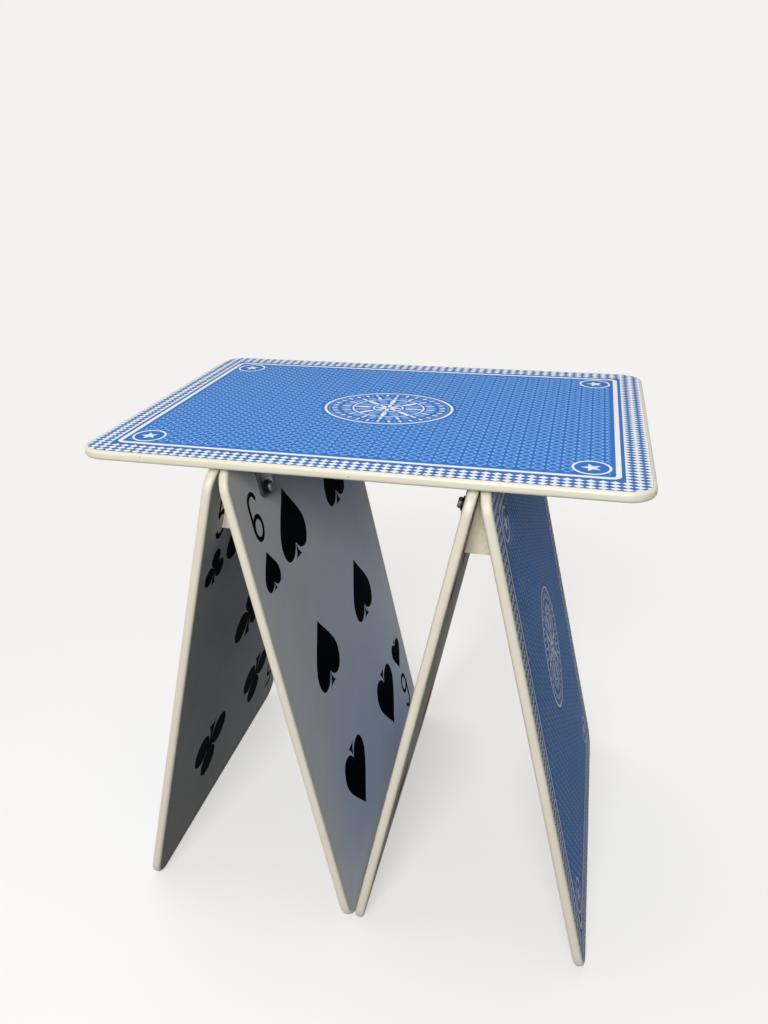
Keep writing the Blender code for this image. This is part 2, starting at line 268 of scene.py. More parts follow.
@dataclass(frozen=True)
class PaintedPine(Coat):
    """A pine rail under one coat of ivory paint: the grain still reads as long shallow lines."""

    name: str = "thin_ivory_paint_on_pine"
    colour: str = "e6dfca"
    line: str = "ddd4bc"
    grain_mm: float = 4.0
    grain_length: float = 12.0
    line_range: Pair = (0.42, 0.68)
    smoother: float = 0.08
    rougher: float = 0.1

    def surface(self, add: AddNode) -> Node:
        """Adds the painted wood's nodes.

        Args:
            add: Adds a node to the material's empty tree.

        Returns:
            The Principled shader.
        """
        place = add("TexCoord").outputs["Object"]
        # The grain runs along the rail, so Y is drawn out
        along = add("Mapping", {"Vector": place, "Scale": (1.0, 1 / self.grain_length, 1.0)})
        grain = add("TexNoise", {"Vector": along, "Scale": 1000 / self.grain_mm, "Detail": 4.0})
        lines = add("MapRange", (grain, *self.line_range, 0.0, 1.0))
        colour = add("Mix", (lines, self.colour, self.line), data_type="RGBA")
        bump = add("Bump", {"Height": grain, "Strength": 0.2, "Distance": 0.0002})
        rough = add("MapRange", (grain, *NOISE_RANGE, *self.drift))
        sockets = {"Base Color": colour, "Roughness": rough, "Normal": bump, "IOR": 1.5}
        return add("BsdfPrincipled", sockets)


@dataclass(frozen=True)
class Laminate(Coat):
    """A satin laminate sheet: faintly wavy, which only its reflections show."""

    roughness: float = 0.45
    gloss: float = 0.035
    wave_mm: float = 14.0

    def laminated(self, add: AddNode, colour: Node, place: NodeSocket, clouds: Node) -> Node:
        """Adds the nodes that give a print its satin surface.

        Args:
            add: Adds a node to the material's tree.
            colour: The print.
            place: Object coordinates.
            clouds: A noise that the roughness follows.

        Returns:
            The Principled shader.
        """
        waves = add("TexNoise", {"Vector": place, "Scale": 1000 / self.wave_mm, "Detail": 1.0})
        bump = add("Bump", {"Height": waves, "Strength": 0.04, "Distance": 0.0003})
        rough = add("MapRange", (clouds, *NOISE_RANGE, *self.drift))
        sockets = {"Base Color": colour, "Roughness": rough, "Normal": bump}
        return add("BsdfPrincipled", {**sockets, "IOR": 1.49, "Specular IOR Level": self.gloss})


@dataclass(frozen=True)
class CardBackLaminate(Laminate):
    """A laminate sheet printed as the blue back of a playing card.

    From the edge inwards: a harlequin band, a blue line, a white line with round corners, and a
    blue field woven over with pale strokes that leaves room for four corner rings and a rosette.
    Sizes are in millimetres on the card, and shares are parts of a pattern's pitch.
    """

    name: str = "satin_laminate_printed_card_back"
    half_card: Pair = (180.0, 250.0)
    white: str = "eef0f2"
    band_blue: str = "3a71b6"
    blue: str = "3274c4"
    stroke: str = "86b9f6"
    faint_stroke: str = "72a8ec"
    row_line: str = "2f70c0"
    diamond_pitch: Pair = (6.416, 9.1)
    diamond_share: float = 0.49
    band_inset: float = 23.5
    line_inset: float = 26.5
    line_width: float = 4.4
    line_corner: float = 8.0
    field_margin: float = 4.0
    weave_pitch: Pair = (8.7, 11.7)
    stroke_share: float = 0.115
    faint_share: float = 0.095
    thins: Pair = (1.6, 4.0)
    fades: Pair = (1.8, 4.2)
    row_half: float = 0.6
    pause_half: float = 0.7
    ring_centre: Pair = (130.3, 200.3)
    ring_radius: float = 16.6
    rosette_half: Pair = (56.0, 69.0)
    cloud_mm: float = 25.0
    cloud_tint: Pair = (0.94, 1.05)

    def surface(self, add: AddNode) -> Node:
        """Adds the print's nodes.

        Args:
            add: Adds a node to the material's empty tree.

        Returns:
            The Principled shader.
        """
        half_x, half_y = self.half_card
        uv = add("UVMap", uv_map=PRINT_MAP)
        centred = add("VectorMath", (uv, (0.5, 0.5, 0.0)), operation="SUBTRACT")
        spot = add("VectorMath", (centred, (2 * half_x, 2 * half_y, 0.0)), operation="MULTIPLY")
        across, along, _ = add("SeparateXYZ", (spot,)).outputs
        size = add("VectorMath", (spot,), operation="ABSOLUTE")

        # The harlequin band: white lozenges about the points of a grid that starts at the centre
        pitch_x, pitch_y = self.diamond_pitch
        off_x = add("Math", (across, pitch_x / 2), operation="PINGPONG")
        off_y = add("Math", (along, pitch_y / 2), operation="PINGPONG")
        share_x = add("Math", (off_x, 1 / pitch_x), operation="MULTIPLY")
        shares = add("Math", (off_y, 1 / pitch_y, share_x), operation="MULTIPLY_ADD")
        lozenge = add("Math", (shares, self.diamond_share), operation="LESS_THAN")
        to_edge = add("VectorMath", ((half_x, half_y, 0.0), size), operation="SUBTRACT")
        inset = add("Math", add("SeparateXYZ", (to_edge,)).outputs[:2], operation="MINIMUM")
        band = add("Math", (inset, self.band_inset), operation="LESS_THAN")
        white_part = add("Math", (lozenge, band), operation="MULTIPLY")
        ground = add("Mix", (white_part, self.band_blue, self.white), data_type="RGBA")

        # The white line: how far a point lies outside a rectangle with round corners
        drawn_in = self.line_inset + self.line_corner
        core = (half_x - drawn_in, half_y - drawn_in, 0.0)
        beyond = add("VectorMath", (size, core), operation="SUBTRACT")
        outside = add("VectorMath", (beyond, (0.0, 0.0, 0.0)), operation="MAXIMUM")
        reach = add("VectorMath", (outside,), operation="LENGTH")
        deepest = add("Math", add("SeparateXYZ", (beyond,)).outputs[:2], operation="MAXIMUM")
        inside = add("Math", (deepest, 0.0), operation="MINIMUM")
        past_core = add("Math", (reach, inside), operation="ADD")
        in_line = add("Math", (past_core, self.line_corner), operation="LESS_THAN")
        framed = add("Mix", (in_line, ground, self.white), data_type="RGBA")

        # The woven field: two families of slanting strokes that pause at each row of the weave
        weave_x, weave_y = self.weave_pitch
        rows = add("Math", (along, 1 / weave_y), operation="MULTIPLY")
        row = add("Math", (rows,), operation="FLOOR")
        part = add("Math", (rows,), operation="FRACT")
        pause = self.pause_half / weave_y
        climb = add("MapRange", (part, pause, 1 - pause, 0.0, 1.0))
        turns = add("Math", (row, climb), operation="ADD")
        slants = [add("Math", (across, d / weave_x, turns), operation="MULTIPLY_ADD") for d in (1, -1)]
        offs = [add("Math", (slant, 0.5), operation="PINGPONG") for slant in slants]
        nearest = add("Math", offs, operation="MINIMUM")
        from_row = add("Math", (along, weave_y / 2), operation="PINGPONG")
        half_stroke = add("MapRange", (from_row, *self.thins, self.stroke_share, self.faint_share))
        strokes = add("Math", (nearest, half_stroke), operation="LESS_THAN")
        unbroken = add("Math", (from_row, self.pause_half), operation="GREATER_THAN")
        whole = add("Math", (strokes, unbroken), operation="MULTIPLY")
        fade = add("MapRange", (from_row, *self.fades, 0.0, 1.0))
        stroke_ink = add("Mix", (fade, self.stroke, self.faint_stroke), data_type="RGBA")

        # The weave stays clear of the white line, the corner rings and the rosette
        field_depth = self.line_corner - self.line_width
        woven = add("Math", (past_core, field_depth - self.field_margin), operation="LESS_THAN")
        to_ring = add("VectorMath", (size, (*self.ring_centre, 0.0)), operation="DISTANCE")
        clear_ring = add("Math", (to_ring, self.ring_radius), operation="GREATER_THAN")
        wide, high = self.rosette_half
        rosette = add("VectorMath", (spot, (1 / wide, 1 / high, 0.0)), operation="MULTIPLY")
        rosette_off = add("VectorMath", (rosette,), operation="LENGTH")
        clear_rosette = add("Math", (rosette_off, 1.0), operation="GREATER_THAN")
        clear = add("Math", (clear_ring, clear_rosette), operation="MULTIPLY")
        clear_field = add("Math", (clear, woven), operation="MULTIPLY")
        stroke_mask = add("Math", (whole, clear_field), operation="MULTIPLY")

        # The ink lies a little unevenly, in clouds
        place = add("TexCoord").outputs["Object"]
        clouds = add("TexNoise", {"Vector": place, "Scale": 1000 / self.cloud_mm, "Detail": 2.0})
        cloudy = add("MapRange", (clouds, *NOISE_RANGE, *self.cloud_tint))
        blue_ink = add("VectorMath", (linear(self.blue)[:3], cloudy), operation="MULTIPLY")
        on_row = add("Math", (from_row, self.row_half), operation="LESS_THAN")
        row_mask = add("Math", (on_row, clear_field), operation="MULTIPLY")
        rowed_ink = add("Mix", (row_mask, blue_ink, self.row_line), data_type="RGBA")
        field_ink = add("Mix", (stroke_mask, rowed_ink, stroke_ink), data_type="RGBA")
        in_field = add("Math", (past_core, field_depth), operation="LESS_THAN")
        colour = add("Mix", (in_field, framed, field_ink), data_type="RGBA")
        return self.laminated(add, colour, place, clouds)


@dataclass(frozen=True)
class CardFaceLaminate(Laminate):
    """The same laminate left white: faintly mottled, and a little warmer towards its edge."""

    name: str = "satin_laminate_white_card_face"
    white: str = "e6e5df"
    mottle: str = "dbdad2"
    edge: str = "d5d1c2"
    edge_from: float = 0.47
    edge_share: float = 0.5
    gloss: float = 0.008
    cloud_mm: float = 100 / 3

    def surface(self, add: AddNode) -> Node:
        """Adds the white sheet's nodes.

        Args:
            add: Adds a node to the material's empty tree.

        Returns:
            The Principled shader.
        """
        place = add("TexCoord").outputs["Object"]
        clouds = add("TexNoise", {"Vector": place, "Scale": 1000 / self.cloud_mm, "Detail": 4.0})
        mottled = add("Mix", (clouds, self.white, self.mottle), data_type="RGBA")
        uv = add("UVMap", uv_map=PRINT_MAP)
        centred = add("VectorMath", (uv, (0.5, 0.5, 0.0)), operation="SUBTRACT")
        size = add("VectorMath", (centred,), operation="ABSOLUTE")
        outermost = add("Math", add("SeparateXYZ", (size,)).outputs[:2], operation="MAXIMUM")
        rim = add("MapRange", (outermost, self.edge_from, 0.5, 0.0, self.edge_share))
        colour = add("Mix", (rim, mottled, self.edge), data_type="RGBA")
        return self.laminated(add, colour, place, clouds)


@dataclass(frozen=True)
class ScreenInk(Coat):
    """Screen printing ink in the laminate: even and nearly dull, with a faint cloudiness."""

    colour: str = "0b0d10"
    thin: str = "121419"
    gloss: float = 0.001
    cloud_mm: float = 25 / 3
    thin_range: Pair = (0.35, 0.7)

    def surface(self, add: AddNode) -> Node:
        """Adds the ink's nodes.

        Args:
            add: Adds a node to the material's empty tree.

        Returns:
            The Principled shader.
        """
        place = add("TexCoord").outputs["Object"]
        clouds = add("TexNoise", {"Vector": place, "Scale": 1000 / self.cloud_mm, "Detail": 3.0})
        layer = add("MapRange", (clouds, *self.thin_range, 0.0, 1.0))
        colour = add("Mix", (layer, self.colour, self.thin), data_type="RGBA")
        rough = add("MapRange", (clouds, *NOISE_RANGE, *self.drift))
        sockets = {"Base Color": colour, "Roughness": rough, "IOR": 1.49}
        return add("BsdfPrincipled", {**sockets, "Specular IOR Level": self.gloss})


@dataclass(frozen=True, kw_only=True)
class PlatedSteel(Coat):
    """Plated or blackened metal: a dull bloom in patches over fine rolling lines."""

    colour: str
    dull: str
    bloom_mm: float = 4.0
    metallic: float = 1.0
    gloss: float = 0.5
    line_mm: float = 0.5
    line_length: float = 30.0
    bloom_range: Pair = (0.35, 0.65)
    smoother: float = 0.07
    rougher: float = 0.14

    def surface(self, add: AddNode) -> Node:
        """Adds the metal's nodes.

        Args:
            add: Adds a node to the material's empty tree.

        Returns:
            The Principled shader.
        """
        place = add("TexCoord").outputs["Object"]
        bloom = add("TexNoise", {"Vector": place, "Scale": 1000 / self.bloom_mm, "Detail": 4.0})
        patches = add("MapRange", (bloom, *self.bloom_range, 0.0, 1.0))
        colour = add("Mix", (patches, self.colour, self.dull), data_type="RGBA")
        # Rolling lines are finer than the render shows, so they are drawn 0.5 mm apart
        thin = 1 / self.line_length
        along = add("Mapping", {"Vector": place, "Scale": (thin, 1.0, thin)})
        lines = add("TexNoise", {"Vector": along, "Scale": 1000 / self.line_mm, "Detail": 1.0})
        bump = add("Bump", {"Height": lines, "Strength": 0.25, "Distance": 0.00005})
        rough = add("MapRange", (bloom, *NOISE_RANGE, *self.drift))
        sockets = {"Base Color": colour, "Roughness": rough, "Normal": bump}
        return add(
            "BsdfPrincipled", {**sockets, "Metallic": self.metallic, "Specular IOR Level": self.gloss}
        )


@dataclass(frozen=True)
class StudioPaper(Finish):
    """Matt pale paper: pale to the eye and in gloss, but it sends little light back up."""

    name: str = "matt_pale_studio_paper"
    colour: str = "f3f2f0"
    bounce: str = "343331"
    glow: float = 0.56
    lit_share: float = 0.56
    near: float = 0.3
    far: float = 1.0
    fibre_mm: float = 2.0
    fibre_tint: Pair = (0.985, 1.0)

    def surface(self, add: AddNode) -> Node:
        """Adds the paper's nodes.

        Args:
            add: Adds a node to the material's empty tree.

        Returns:
            The shader that mixes what the eye, the gloss and the bounced light see.
        """
        place = add("TexCoord").outputs["Object"]
        away = add("VectorMath", (place,), operation="LENGTH")
        fade = add("MapRange", (away, self.near, self.far, 0.0, 1.0))
        # Fibres keep the paper from being one flat colour
        fibres = add("TexNoise", {"Vector": place, "Scale": 1000 / self.fibre_mm, "Detail": 2.0})
        tint = add("MapRange", (fibres, 0.0, 1.0, *self.fibre_tint))
        paper = add("VectorMath", (linear(self.colour)[:3], tint), operation="MULTIPLY")
        matt = add("VectorMath", (paper, (self.lit_share,) * 3), operation="MULTIPLY")
        glow = add("Emission", (self.colour, self.glow))
        lit = add("AddShader", (add("BsdfDiffuse", (matt,)), glow))
        seen = add("MixShader", (fade, lit, add("Emission", (self.colour, 1.0))))
        direct = add("Math", ray_shares(add), operation="MAXIMUM")
        return add("MixShader", (direct, add("BsdfDiffuse", (self.bounce,)), seen))


IVORY = SatinBoardPaint()
RAIL_PAINT = PaintedPine()
TOP_BACK = CardBackLaminate()
LEG_BACK = CardBackLaminate("worn_satin_laminate_printed_card_back", gloss=0.01)
CARD_FACE = CardFaceLaminate()
BLACK_INK = ScreenInk("dense_black_screen_ink")
RED_INK = ScreenInk("dense_red_screen_ink", colour="b5121b", thin="a30f18")
WHITE_INK = ScreenInk("opaque_white_screen_ink", 0.45, colour="eef0f2", thin="e2e6ec", gloss=0.04)
PALE_BLUE_INK = ScreenInk("opaque_pale_blue_screen_ink", 0.45, colour="7cabea", thin="6c9fe2", gloss=0.04)
ZINC = PlatedSteel("zinc_plated_rolled_steel", 0.42, colour="6f7477", dull="53585b")
BOLT_ZINC = PlatedSteel("zinc_plated_turned_steel", 0.5, colour="84857f", dull="6a6b67", bloom_mm=2.0)
# The washer's near-black colour is painted shade, standing for the shadow under the bolt's head
WASHER_SHADE_STEEL = PlatedSteel("dulled_spring_steel", 0.5, colour="303233", dull="222324", bloom_mm=2.0)
BRASS = PlatedSteel("turned_brass", 0.3, colour="d9b36a", dull="b98f4a", bloom_mm=3.0)
# Blackening hides the metal of the black leg screws, and the near-black steel in the screw sockets is painted
# shade of the holes, so these two are not metallic
BLACK_OXIDE = PlatedSteel(
    "black_oxide_turned_steel", 0.55, colour="121314", dull="0b0c0d", bloom_mm=2.0, metallic=0.0, gloss=0.06
)
# Painted shade: the inside of every screw socket is near black whatever light falls on it
SOCKET_SHADE_STEEL = PlatedSteel(
    "grimy_steel_in_screw_sockets", 0.7, colour="0c0d0e", dull="070808", bloom_mm=1.0, metallic=0.0, gloss=0.0
)


# --------------------------------------------------------------------------- sizes and shapes


@dataclass(frozen=True)
class TableSizes:
    """The sizes that the table's pieces share, in metres, as the CAD model has them."""

    card_length: float = 0.500
    card_width: float = 0.360
    card_thickness: float = 0.009
    corner_radius: float = 0.024
    edge_radius: float = 0.0032
    slant: float = math.radians(12.3)
    fit_gap: float = 0.0003
    foot_flat: float = 0.00025
    bolt_down: float = 0.045
    bolt_y: float = 0.106
    leg_screw_down: float = 0.043
    leg_screw_y: float = 0.116

    def leg_reach(self, along: float, through: float) -> float:
        """How far a leg reaches one way, by how much of its length and thickness lies that way."""
        core, skin = (size / 2 - self.edge_radius for size in (self.card_length, self.card_thickness))
        return core * along + skin * through + self.edge_radius

    @property
    def half_span(self) -> float:
        """How far a leg reaches to each side of its middle."""
        return self.leg_reach(math.sin(self.slant), math.cos(self.slant))

    @property
    def half_height(self) -> float:
        """How far a leg reaches above and below its middle."""
        return self.leg_reach(math.cos(self.slant), math.sin(self.slant))

    @property
    def inner_leg_x(self) -> float:
        """Where the middle of an inner leg is."""
        return self.half_span + self.fit_gap / 2

    @property
    def outer_leg_x(self) -> float:
        """Where the middle of an outer leg is."""
        return self.inner_leg_x + 2 * self.half_span + self.fit_gap

    @property
    def apex_x(self) -> float:
        """Where the two legs of a pair meet at their tops."""
        return (self.inner_leg_x + self.outer_leg_x) / 2

    @property
    def leg_z(self) -> float:
        """The height of a leg's middle."""
        return self.half_height - self.foot_flat

    @property
    def underside_z(self) -> float:
        """The height of the top's underside."""
        return self.leg_z + self.half_height + self.fit_gap

    def leg_frame(self, centre_x: float, slant: float) -> Matrix:
        """A leg's own frame, X up the card and Z out of its face. It leans towards -X by the slant."""
        turn = Matrix.Rotation(-(math.pi / 2 + slant), 4, "Y")
        return Matrix.Translation((centre_x, 0.0, self.leg_z)) @ turn

    def on_face(self, frame: Matrix, down: float, across: float, side: int) -> Matrix:
        """A frame on a card's face, with Z pointing out of it.

        Args:
            frame: The card's frame.
            down: The distance down from the card's top end.
            across: The distance across from its middle line.
            side: The face, +1 or -1 along the card's own Z.

        Returns:
            The frame's matrix.
        """
        spot = (self.card_length / 2 - down, across, side * self.card_thickness / 2)
        flip = Matrix.Rotation(0.0 if side > 0 else math.pi, 4, "X")
        return frame @ Matrix.Translation(spot) @ flip


SIZES = TableSizes()


def only(kind: type, geometry: Iterable) -> list:
    """Picks the vertices, edges or faces out of an operator's result."""
    return [item for item in geometry if isinstance(item, kind)]


def make_piece(
    name: str,
    shape: BMesh,
    finish: Finish,
    slot: Slot,
    nodes: Iterable[str] = (),
    inner: Union[Finish, None] = None,
) -> Object:
    """Turns a bmesh into a dressed piece that rides on the table.

    Args:
        name: The piece's name.
        shape: The piece in its place. It is freed.
        finish: What the piece is dressed in.
        slot: The record's slot for the piece. It is not used.
        nodes: The CAD nodes that it stands for.
        inner: What the faces with material index 1 are dressed in.

    Returns:
        The new object.
    """
    bmesh.ops.recalc_face_normals(shape, faces=shape.faces)
    mesh = bpy.data.meshes.new(name)
    shape.to_mesh(mesh)
    shape.free()
    mesh.shade_smooth()
    mesh.set_sharp_from_angle(angle=SMOOTH_ANGLE)
    for dress in (finish, inner):
        if dress:
            mesh.materials.append(dress.material())
    piece = bpy.data.objects.new(name, mesh)
    bpy.context.scene.collection.objects.link(piece)
    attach(piece, "root")
    if nodes:
        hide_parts(*nodes)
    return piece


def rounded_slab(size: Vector, radius: float, steps: int) -> BMesh:
    """A flat slab about the origin with its four upright corners rounded.

    Args:
        size: Its length, width and thickness.
        radius: The corners' radius.
        steps: Segments in each corner.

    Returns:
        The new bmesh.
    """
    slab = bmesh.new()
    bmesh.ops.create_cube(slab, size=1.0)
    bmesh.ops.scale(slab, vec=size, verts=slab.verts)
    upright = [e for e in slab.edges if e.verts[0].co.z * e.verts[1].co.z < 0]
    round_edges(slab, upright, radius, steps)
    return slab


def round_edges(shape: BMesh, edges: list[BMEdge], radius: float, steps: int = 3) -> None:
    """Rounds some edges of a shape.

    Args:
        shape: The bmesh.
        edges: The edges to round.
        radius: How far the round reaches from each edge.
        steps: Segments across the round.
    """
    bmesh.ops.bevel(
        shape,
        geom=edges,
        offset=radius,
        offset_type="OFFSET",
        segments=steps,
        profile=0.5,
        affect="EDGES",
        material=-1,
        clamp_overlap=True,
    )


def spin_round(shape: BMesh, geometry: list, angle: float, steps: int, merge: bool) -> None:
    """Draws points and edges round the Z axis by an angle in radians, and may join the two ends."""
    axis = {"cent": (0.0, 0.0, 0.0), "axis": (0.0, 0.0, 1.0)}
    bmesh.ops.spin(shape, geom=geometry, angle=angle, steps=steps, use_merge=merge, **axis)


def add_turned(shape: BMesh, profile: list[Pair], closed: bool, steps: int = 48) -> None:
    """Adds a shape turned about the Z axis from points of its half section.

    Args:
        shape: The bmesh that gets it.
        profile: (radius, height) points.
        closed: Whether the section's last point joins its first, as in a ring.
        steps: Segments around.
    """
    points = [shape.verts.new((radius, 0.0, height)) for radius, height in profile]
    lines = [shape.edges.new(pair) for pair in zip(points, points[1:])]
    if closed:
        lines.append(shape.edges.new((points[-1], points[0])))
    spin_round(shape, points + lines, 2 * math.pi, steps, merge=True)
    bmesh.ops.remove_doubles(shape, verts=shape.verts, dist=WELD)


# --------------------------------------------------------------------------- print


@dataclass
class InkLayer:
    """Printed marks on one side of a card, each a film a few hundredths of a millimetre thick.

    Positions are in millimetres from the card's middle, X to the viewer's right and Y up. No two
    marks have quite the same thickness, so that marks that overlap never share a surface.
    """

    name: str
    frame: Matrix
    finish: Finish
    slot: Slot
    film_mm: float = 0.05
    step_mm: float = 0.003
    film_steps: int = 12
    weld_mm: float = 0.01
    curve_steps: int = 14
    shape: BMesh = field(default_factory=bmesh.new)
    marks: int = 0

    def add(self, mark: BMesh, place: Matrix) -> None:
        """Adds a flat mark at its place as a film.

        Args:
            mark: The mark's flat faces. It is freed.
            place: Where it goes on the card.
        """
        lift = self.film_mm + self.step_mm * (self.marks % self.film_steps)
        self.marks += 1
        bmesh.ops.recalc_face_normals(mark, faces=mark.faces)
        grown = bmesh.ops.extrude_face_region(mark, geom=list(mark.faces), use_keep_orig=True)
        bmesh.ops.translate(mark, vec=(0.0, 0.0, lift), verts=only(BMVert, grown["geom"]))
        bmesh.ops.transform(mark, matrix=place, verts=mark.verts)
        spare = bpy.data.meshes.new("mark")
        mark.to_mesh(spare)
        mark.free()
        self.shape.from_mesh(spare)
        bpy.data.meshes.remove(spare)

    def bar(self, place: Matrix, start: Pair, end: Pair, width: float) -> None:
        """Adds a straight stroke.

        Args:
            place: The frame that its ends are given in.
            start: One end of its middle line.
            end: The other end.
            width: The stroke's width.
        """
        run = Vector(end) - Vector(start)
        middle = (Vector(end) + Vector(start)) / 2
        mark = bmesh.new()
        bmesh.ops.create_grid(mark, x_segments=1, y_segments=1, size=0.5)
        bmesh.ops.scale(mark, vec=(run.length, width, 1.0), verts=mark.verts)
        turn = Matrix.Rotation(math.atan2(run.y, run.x), 4, "Z")
        self.add(mark, place @ Matrix.Translation((middle.x, middle.y, 0.0)) @ turn)

    def arc(
        self,
        place: Matrix,
        centre: Pair,
        outer: Pair,
        width: float,
        start: float = 0.0,
        end: float = 360.0,
        steps: int = 48,
    ) -> None:
        """Adds a curved stroke, part of a ring that is drawn out into an ellipse.

        Args:
            place: The frame that its centre is given in.
            centre: The ring's centre.
            outer: Its outer half width and half height.
            width: The stroke's width where it runs upright.
            start: Where it starts, in degrees from the right.
            end: Where it ends.
            steps: Segments along it.
        """
        mark = bmesh.new()
        first = math.radians(start)
        radii = (outer[0] - width, outer[0])
        ends = [mark.verts.new((r * math.cos(first), r * math.sin(first), 0.0)) for r in radii]
        line = mark.edges.new(ends)
        sweep = math.radians(end - start)
        spin_round(mark, [*ends, line], sweep, steps, merge=abs(end - start) >= 360.0)
        bmesh.ops.scale(mark, vec=(1.0, outer[1] / outer[0], 1.0), verts=mark.verts)
        self.add(mark, place @ Matrix.Translation((*centre, 0.0)))

    def disc(self, place: Matrix, half: Pair, steps: int, waist: float = 1.0) -> None:
        """Adds a round mark, or a star where every other corner is drawn in.

        Args:
            place: The frame of its centre.
            half: Its half width and half height.
            steps: Corners around it.
            waist: How far out every other corner stays, as a share.
        """
        mark = bmesh.new()
        bmesh.ops.create_circle(mark, cap_ends=True, segments=steps, radius=1.0)
        # Clockwise from the top, whose own corner comes first also where it lies a hair before it
        turned = sorted(mark.verts, key=lambda v: math.atan2(v.co.x, v.co.y) % (2 * math.pi - 0.001))
        bmesh.ops.scale(mark, vec=(waist, waist, 1.0), verts=turned[1::2])
        bmesh.ops.scale(mark, vec=(*half, 1.0), verts=mark.verts)
        self.add(mark, place)

    def outline(self, place: Matrix, half_outline: tuple[tuple[float, ...], ...]) -> None:
        """Adds a shape whose left half mirrors its right half.

        Args:
            place: The frame that it is drawn in.
            half_outline: Points down the right half, each with the x and y of the handle before
                it, of itself, and of the handle after it.
        """
        curve = bpy.data.curves.new("outline", "CURVE")
        curve.dimensions = "2D"
        curve.fill_mode = "BOTH"
        curve.resolution_u = self.curve_steps
        left = [(-c, d, -x, y, -a, b) for a, b, x, y, c, d in reversed(half_outline) if x > 0]
        points = [*half_outline, *left]
        spline = curve.splines.new("BEZIER")
        spline.bezier_points.add(len(points) - 1)
        spline.use_cyclic_u = True
        for point, (a, b, x, y, c, d) in zip(spline.bezier_points, points):
            point.handle_left_type = point.handle_right_type = "FREE"
            point.handle_left, point.co, point.handle_right = (a, b, 0.0), (x, y, 0.0), (c, d, 0.0)
        holder = bpy.data.objects.new("outline", curve)
        flat = bpy.data.meshes.new_from_object(holder)
        mark = bmesh.new()
        mark.from_mesh(flat)
        bmesh.ops.remove_doubles(mark, verts=mark.verts, dist=self.weld_mm)
        bpy.data.objects.remove(holder)
        bpy.data.curves.remove(curve)
        bpy.data.meshes.remove(flat)
        self.add(mark, place)

    def build(self) -> Object:
        """Puts all the marks on the card as one piece.

        Returns:
            The new object.
        """
        to_card = self.frame @ Matrix.Diagonal((MM, MM, MM, 1.0))
        bmesh.ops.transform(self.shape, matrix=to_card, verts=self.shape.verts)
        return make_piece(self.name, self.shape, self.finish, self.slot)


# Half outlines of the suits, 72 mm high at full size
SPADE_BODY = (
    (-9.0, 26.0, 0.0, 40.0, 9.0, 26.0),
    (34.5, 4.0, 34.5, -12.0, 34.5, -24.0),
    (28.0, -32.0, 19.5, -32.0, 12.0, -32.0),
    (5.0, -28.5, 1.2, -21.0, 0.4, -21.0),
)
SPADE_STEM = (
    (0.2, -22.0, 0.6, -22.0, 1.5, -29.0),
    (4.5, -33.5, 9.0, -36.0, 5.5, -35.2),
    (3.0, -35.0, 0.0, -35.0, -3.0, -35.0),
)
CLUB_STEM = (
    (-2.0, 4.0, 0.0, 4.0, 2.0, 4.0),
    (3.2, 0.0, 3.2, -6.0, 3.2, -22.0),
    (5.0, -33.0, 9.5, -37.2, 5.5, -36.4),
    (3.0, -36.2, 0.0, -36.2, -3.0, -36.2),
)
HEART_BODY = (
    (-2.0, 25.0, 0.0, 19.0, 2.0, 25.0),
    (8.0, 33.0, 17.0, 33.0, 26.0, 33.0),
    (33.0, 26.0, 33.0, 16.0, 33.0, -1.0),
    (8.0, -20.0, 0.0, -34.0, -8.0, -20.0),
)
DIAMOND_BODY = (
    (-8.0, 22.0, 0.0, 36.0, 8.0, 22.0),
    (19.0, 9.0, 28.0, 0.0, 19.0, -9.0),
    (8.0, -22.0, 0.0, -36.0, -8.0, -22.0),
)
SUIT_OUTLINES = {
    Suit.SPADE: (SPADE_BODY, SPADE_STEM),
    Suit.CLUB: (CLUB_STEM,),
    Suit.HEART: (HEART_BODY,),
    Suit.DIAMOND: (DIAMOND_BODY,),
}

# The club's leaves and the knot between them: x, y, radius and corners
CLUB_DISCS = (
    (0.0, 18.5, 18.7, 48),
    (23.0, -12.2, 18.7, 48),
    (-23.0, -12.2, 18.7, 48),
    (0.0, -3.0, 8.5, 32),
)

# The strokes of each number, about 21 mm wide and 49 mm high: a bar with its two ends, or an arc
# with its centre and its outer half sizes, then how much wider it is than most, and an arc's angles
BAR, ARC = InkLayer.bar, InkLayer.arc
NUMBER_STROKES = {
    4: (
        (BAR, (4.2, 24.0), (4.2, -24.0), 0.0),
        (BAR, (-11.0, -9.0), (10.5, -9.0), 0.6),
        (BAR, (4.4, 22.5), (-9.4, -8.5), 0.0),
    ),
    5: (
        (BAR, (-8.8, 21.6), (8.6, 21.6), 1.2),
        (BAR, (-6.9, 22.0), (-7.6, 1.6), 0.0),
        (ARC, (-0.1, -8.4), (10.9, 15.8), 0.0, -158.0, 140.0),
    ),
    6: (
        (ARC, (0.6, -11.0), (10.7, 13.6), 0.0),
        (BAR, (-8.7, -11.0), (-8.7, 12.2), 0.0),
        (ARC, (-0.2, 12.0), (10.45, 12.9), 0.0, 14.0, 180.0),
    ),
    7: (
        (BAR, (-10.0, 21.8), (10.4, 21.8), 1.2),
        (BAR, (8.6, 22.6), (-3.4, -24.0), 0.4),
    ),
    8: (
        (ARC, (0.0, 11.6), (9.6, 12.6), 0.0),
        (ARC, (0.0, -11.2), (10.8, 13.2), 0.0),
    ),
}


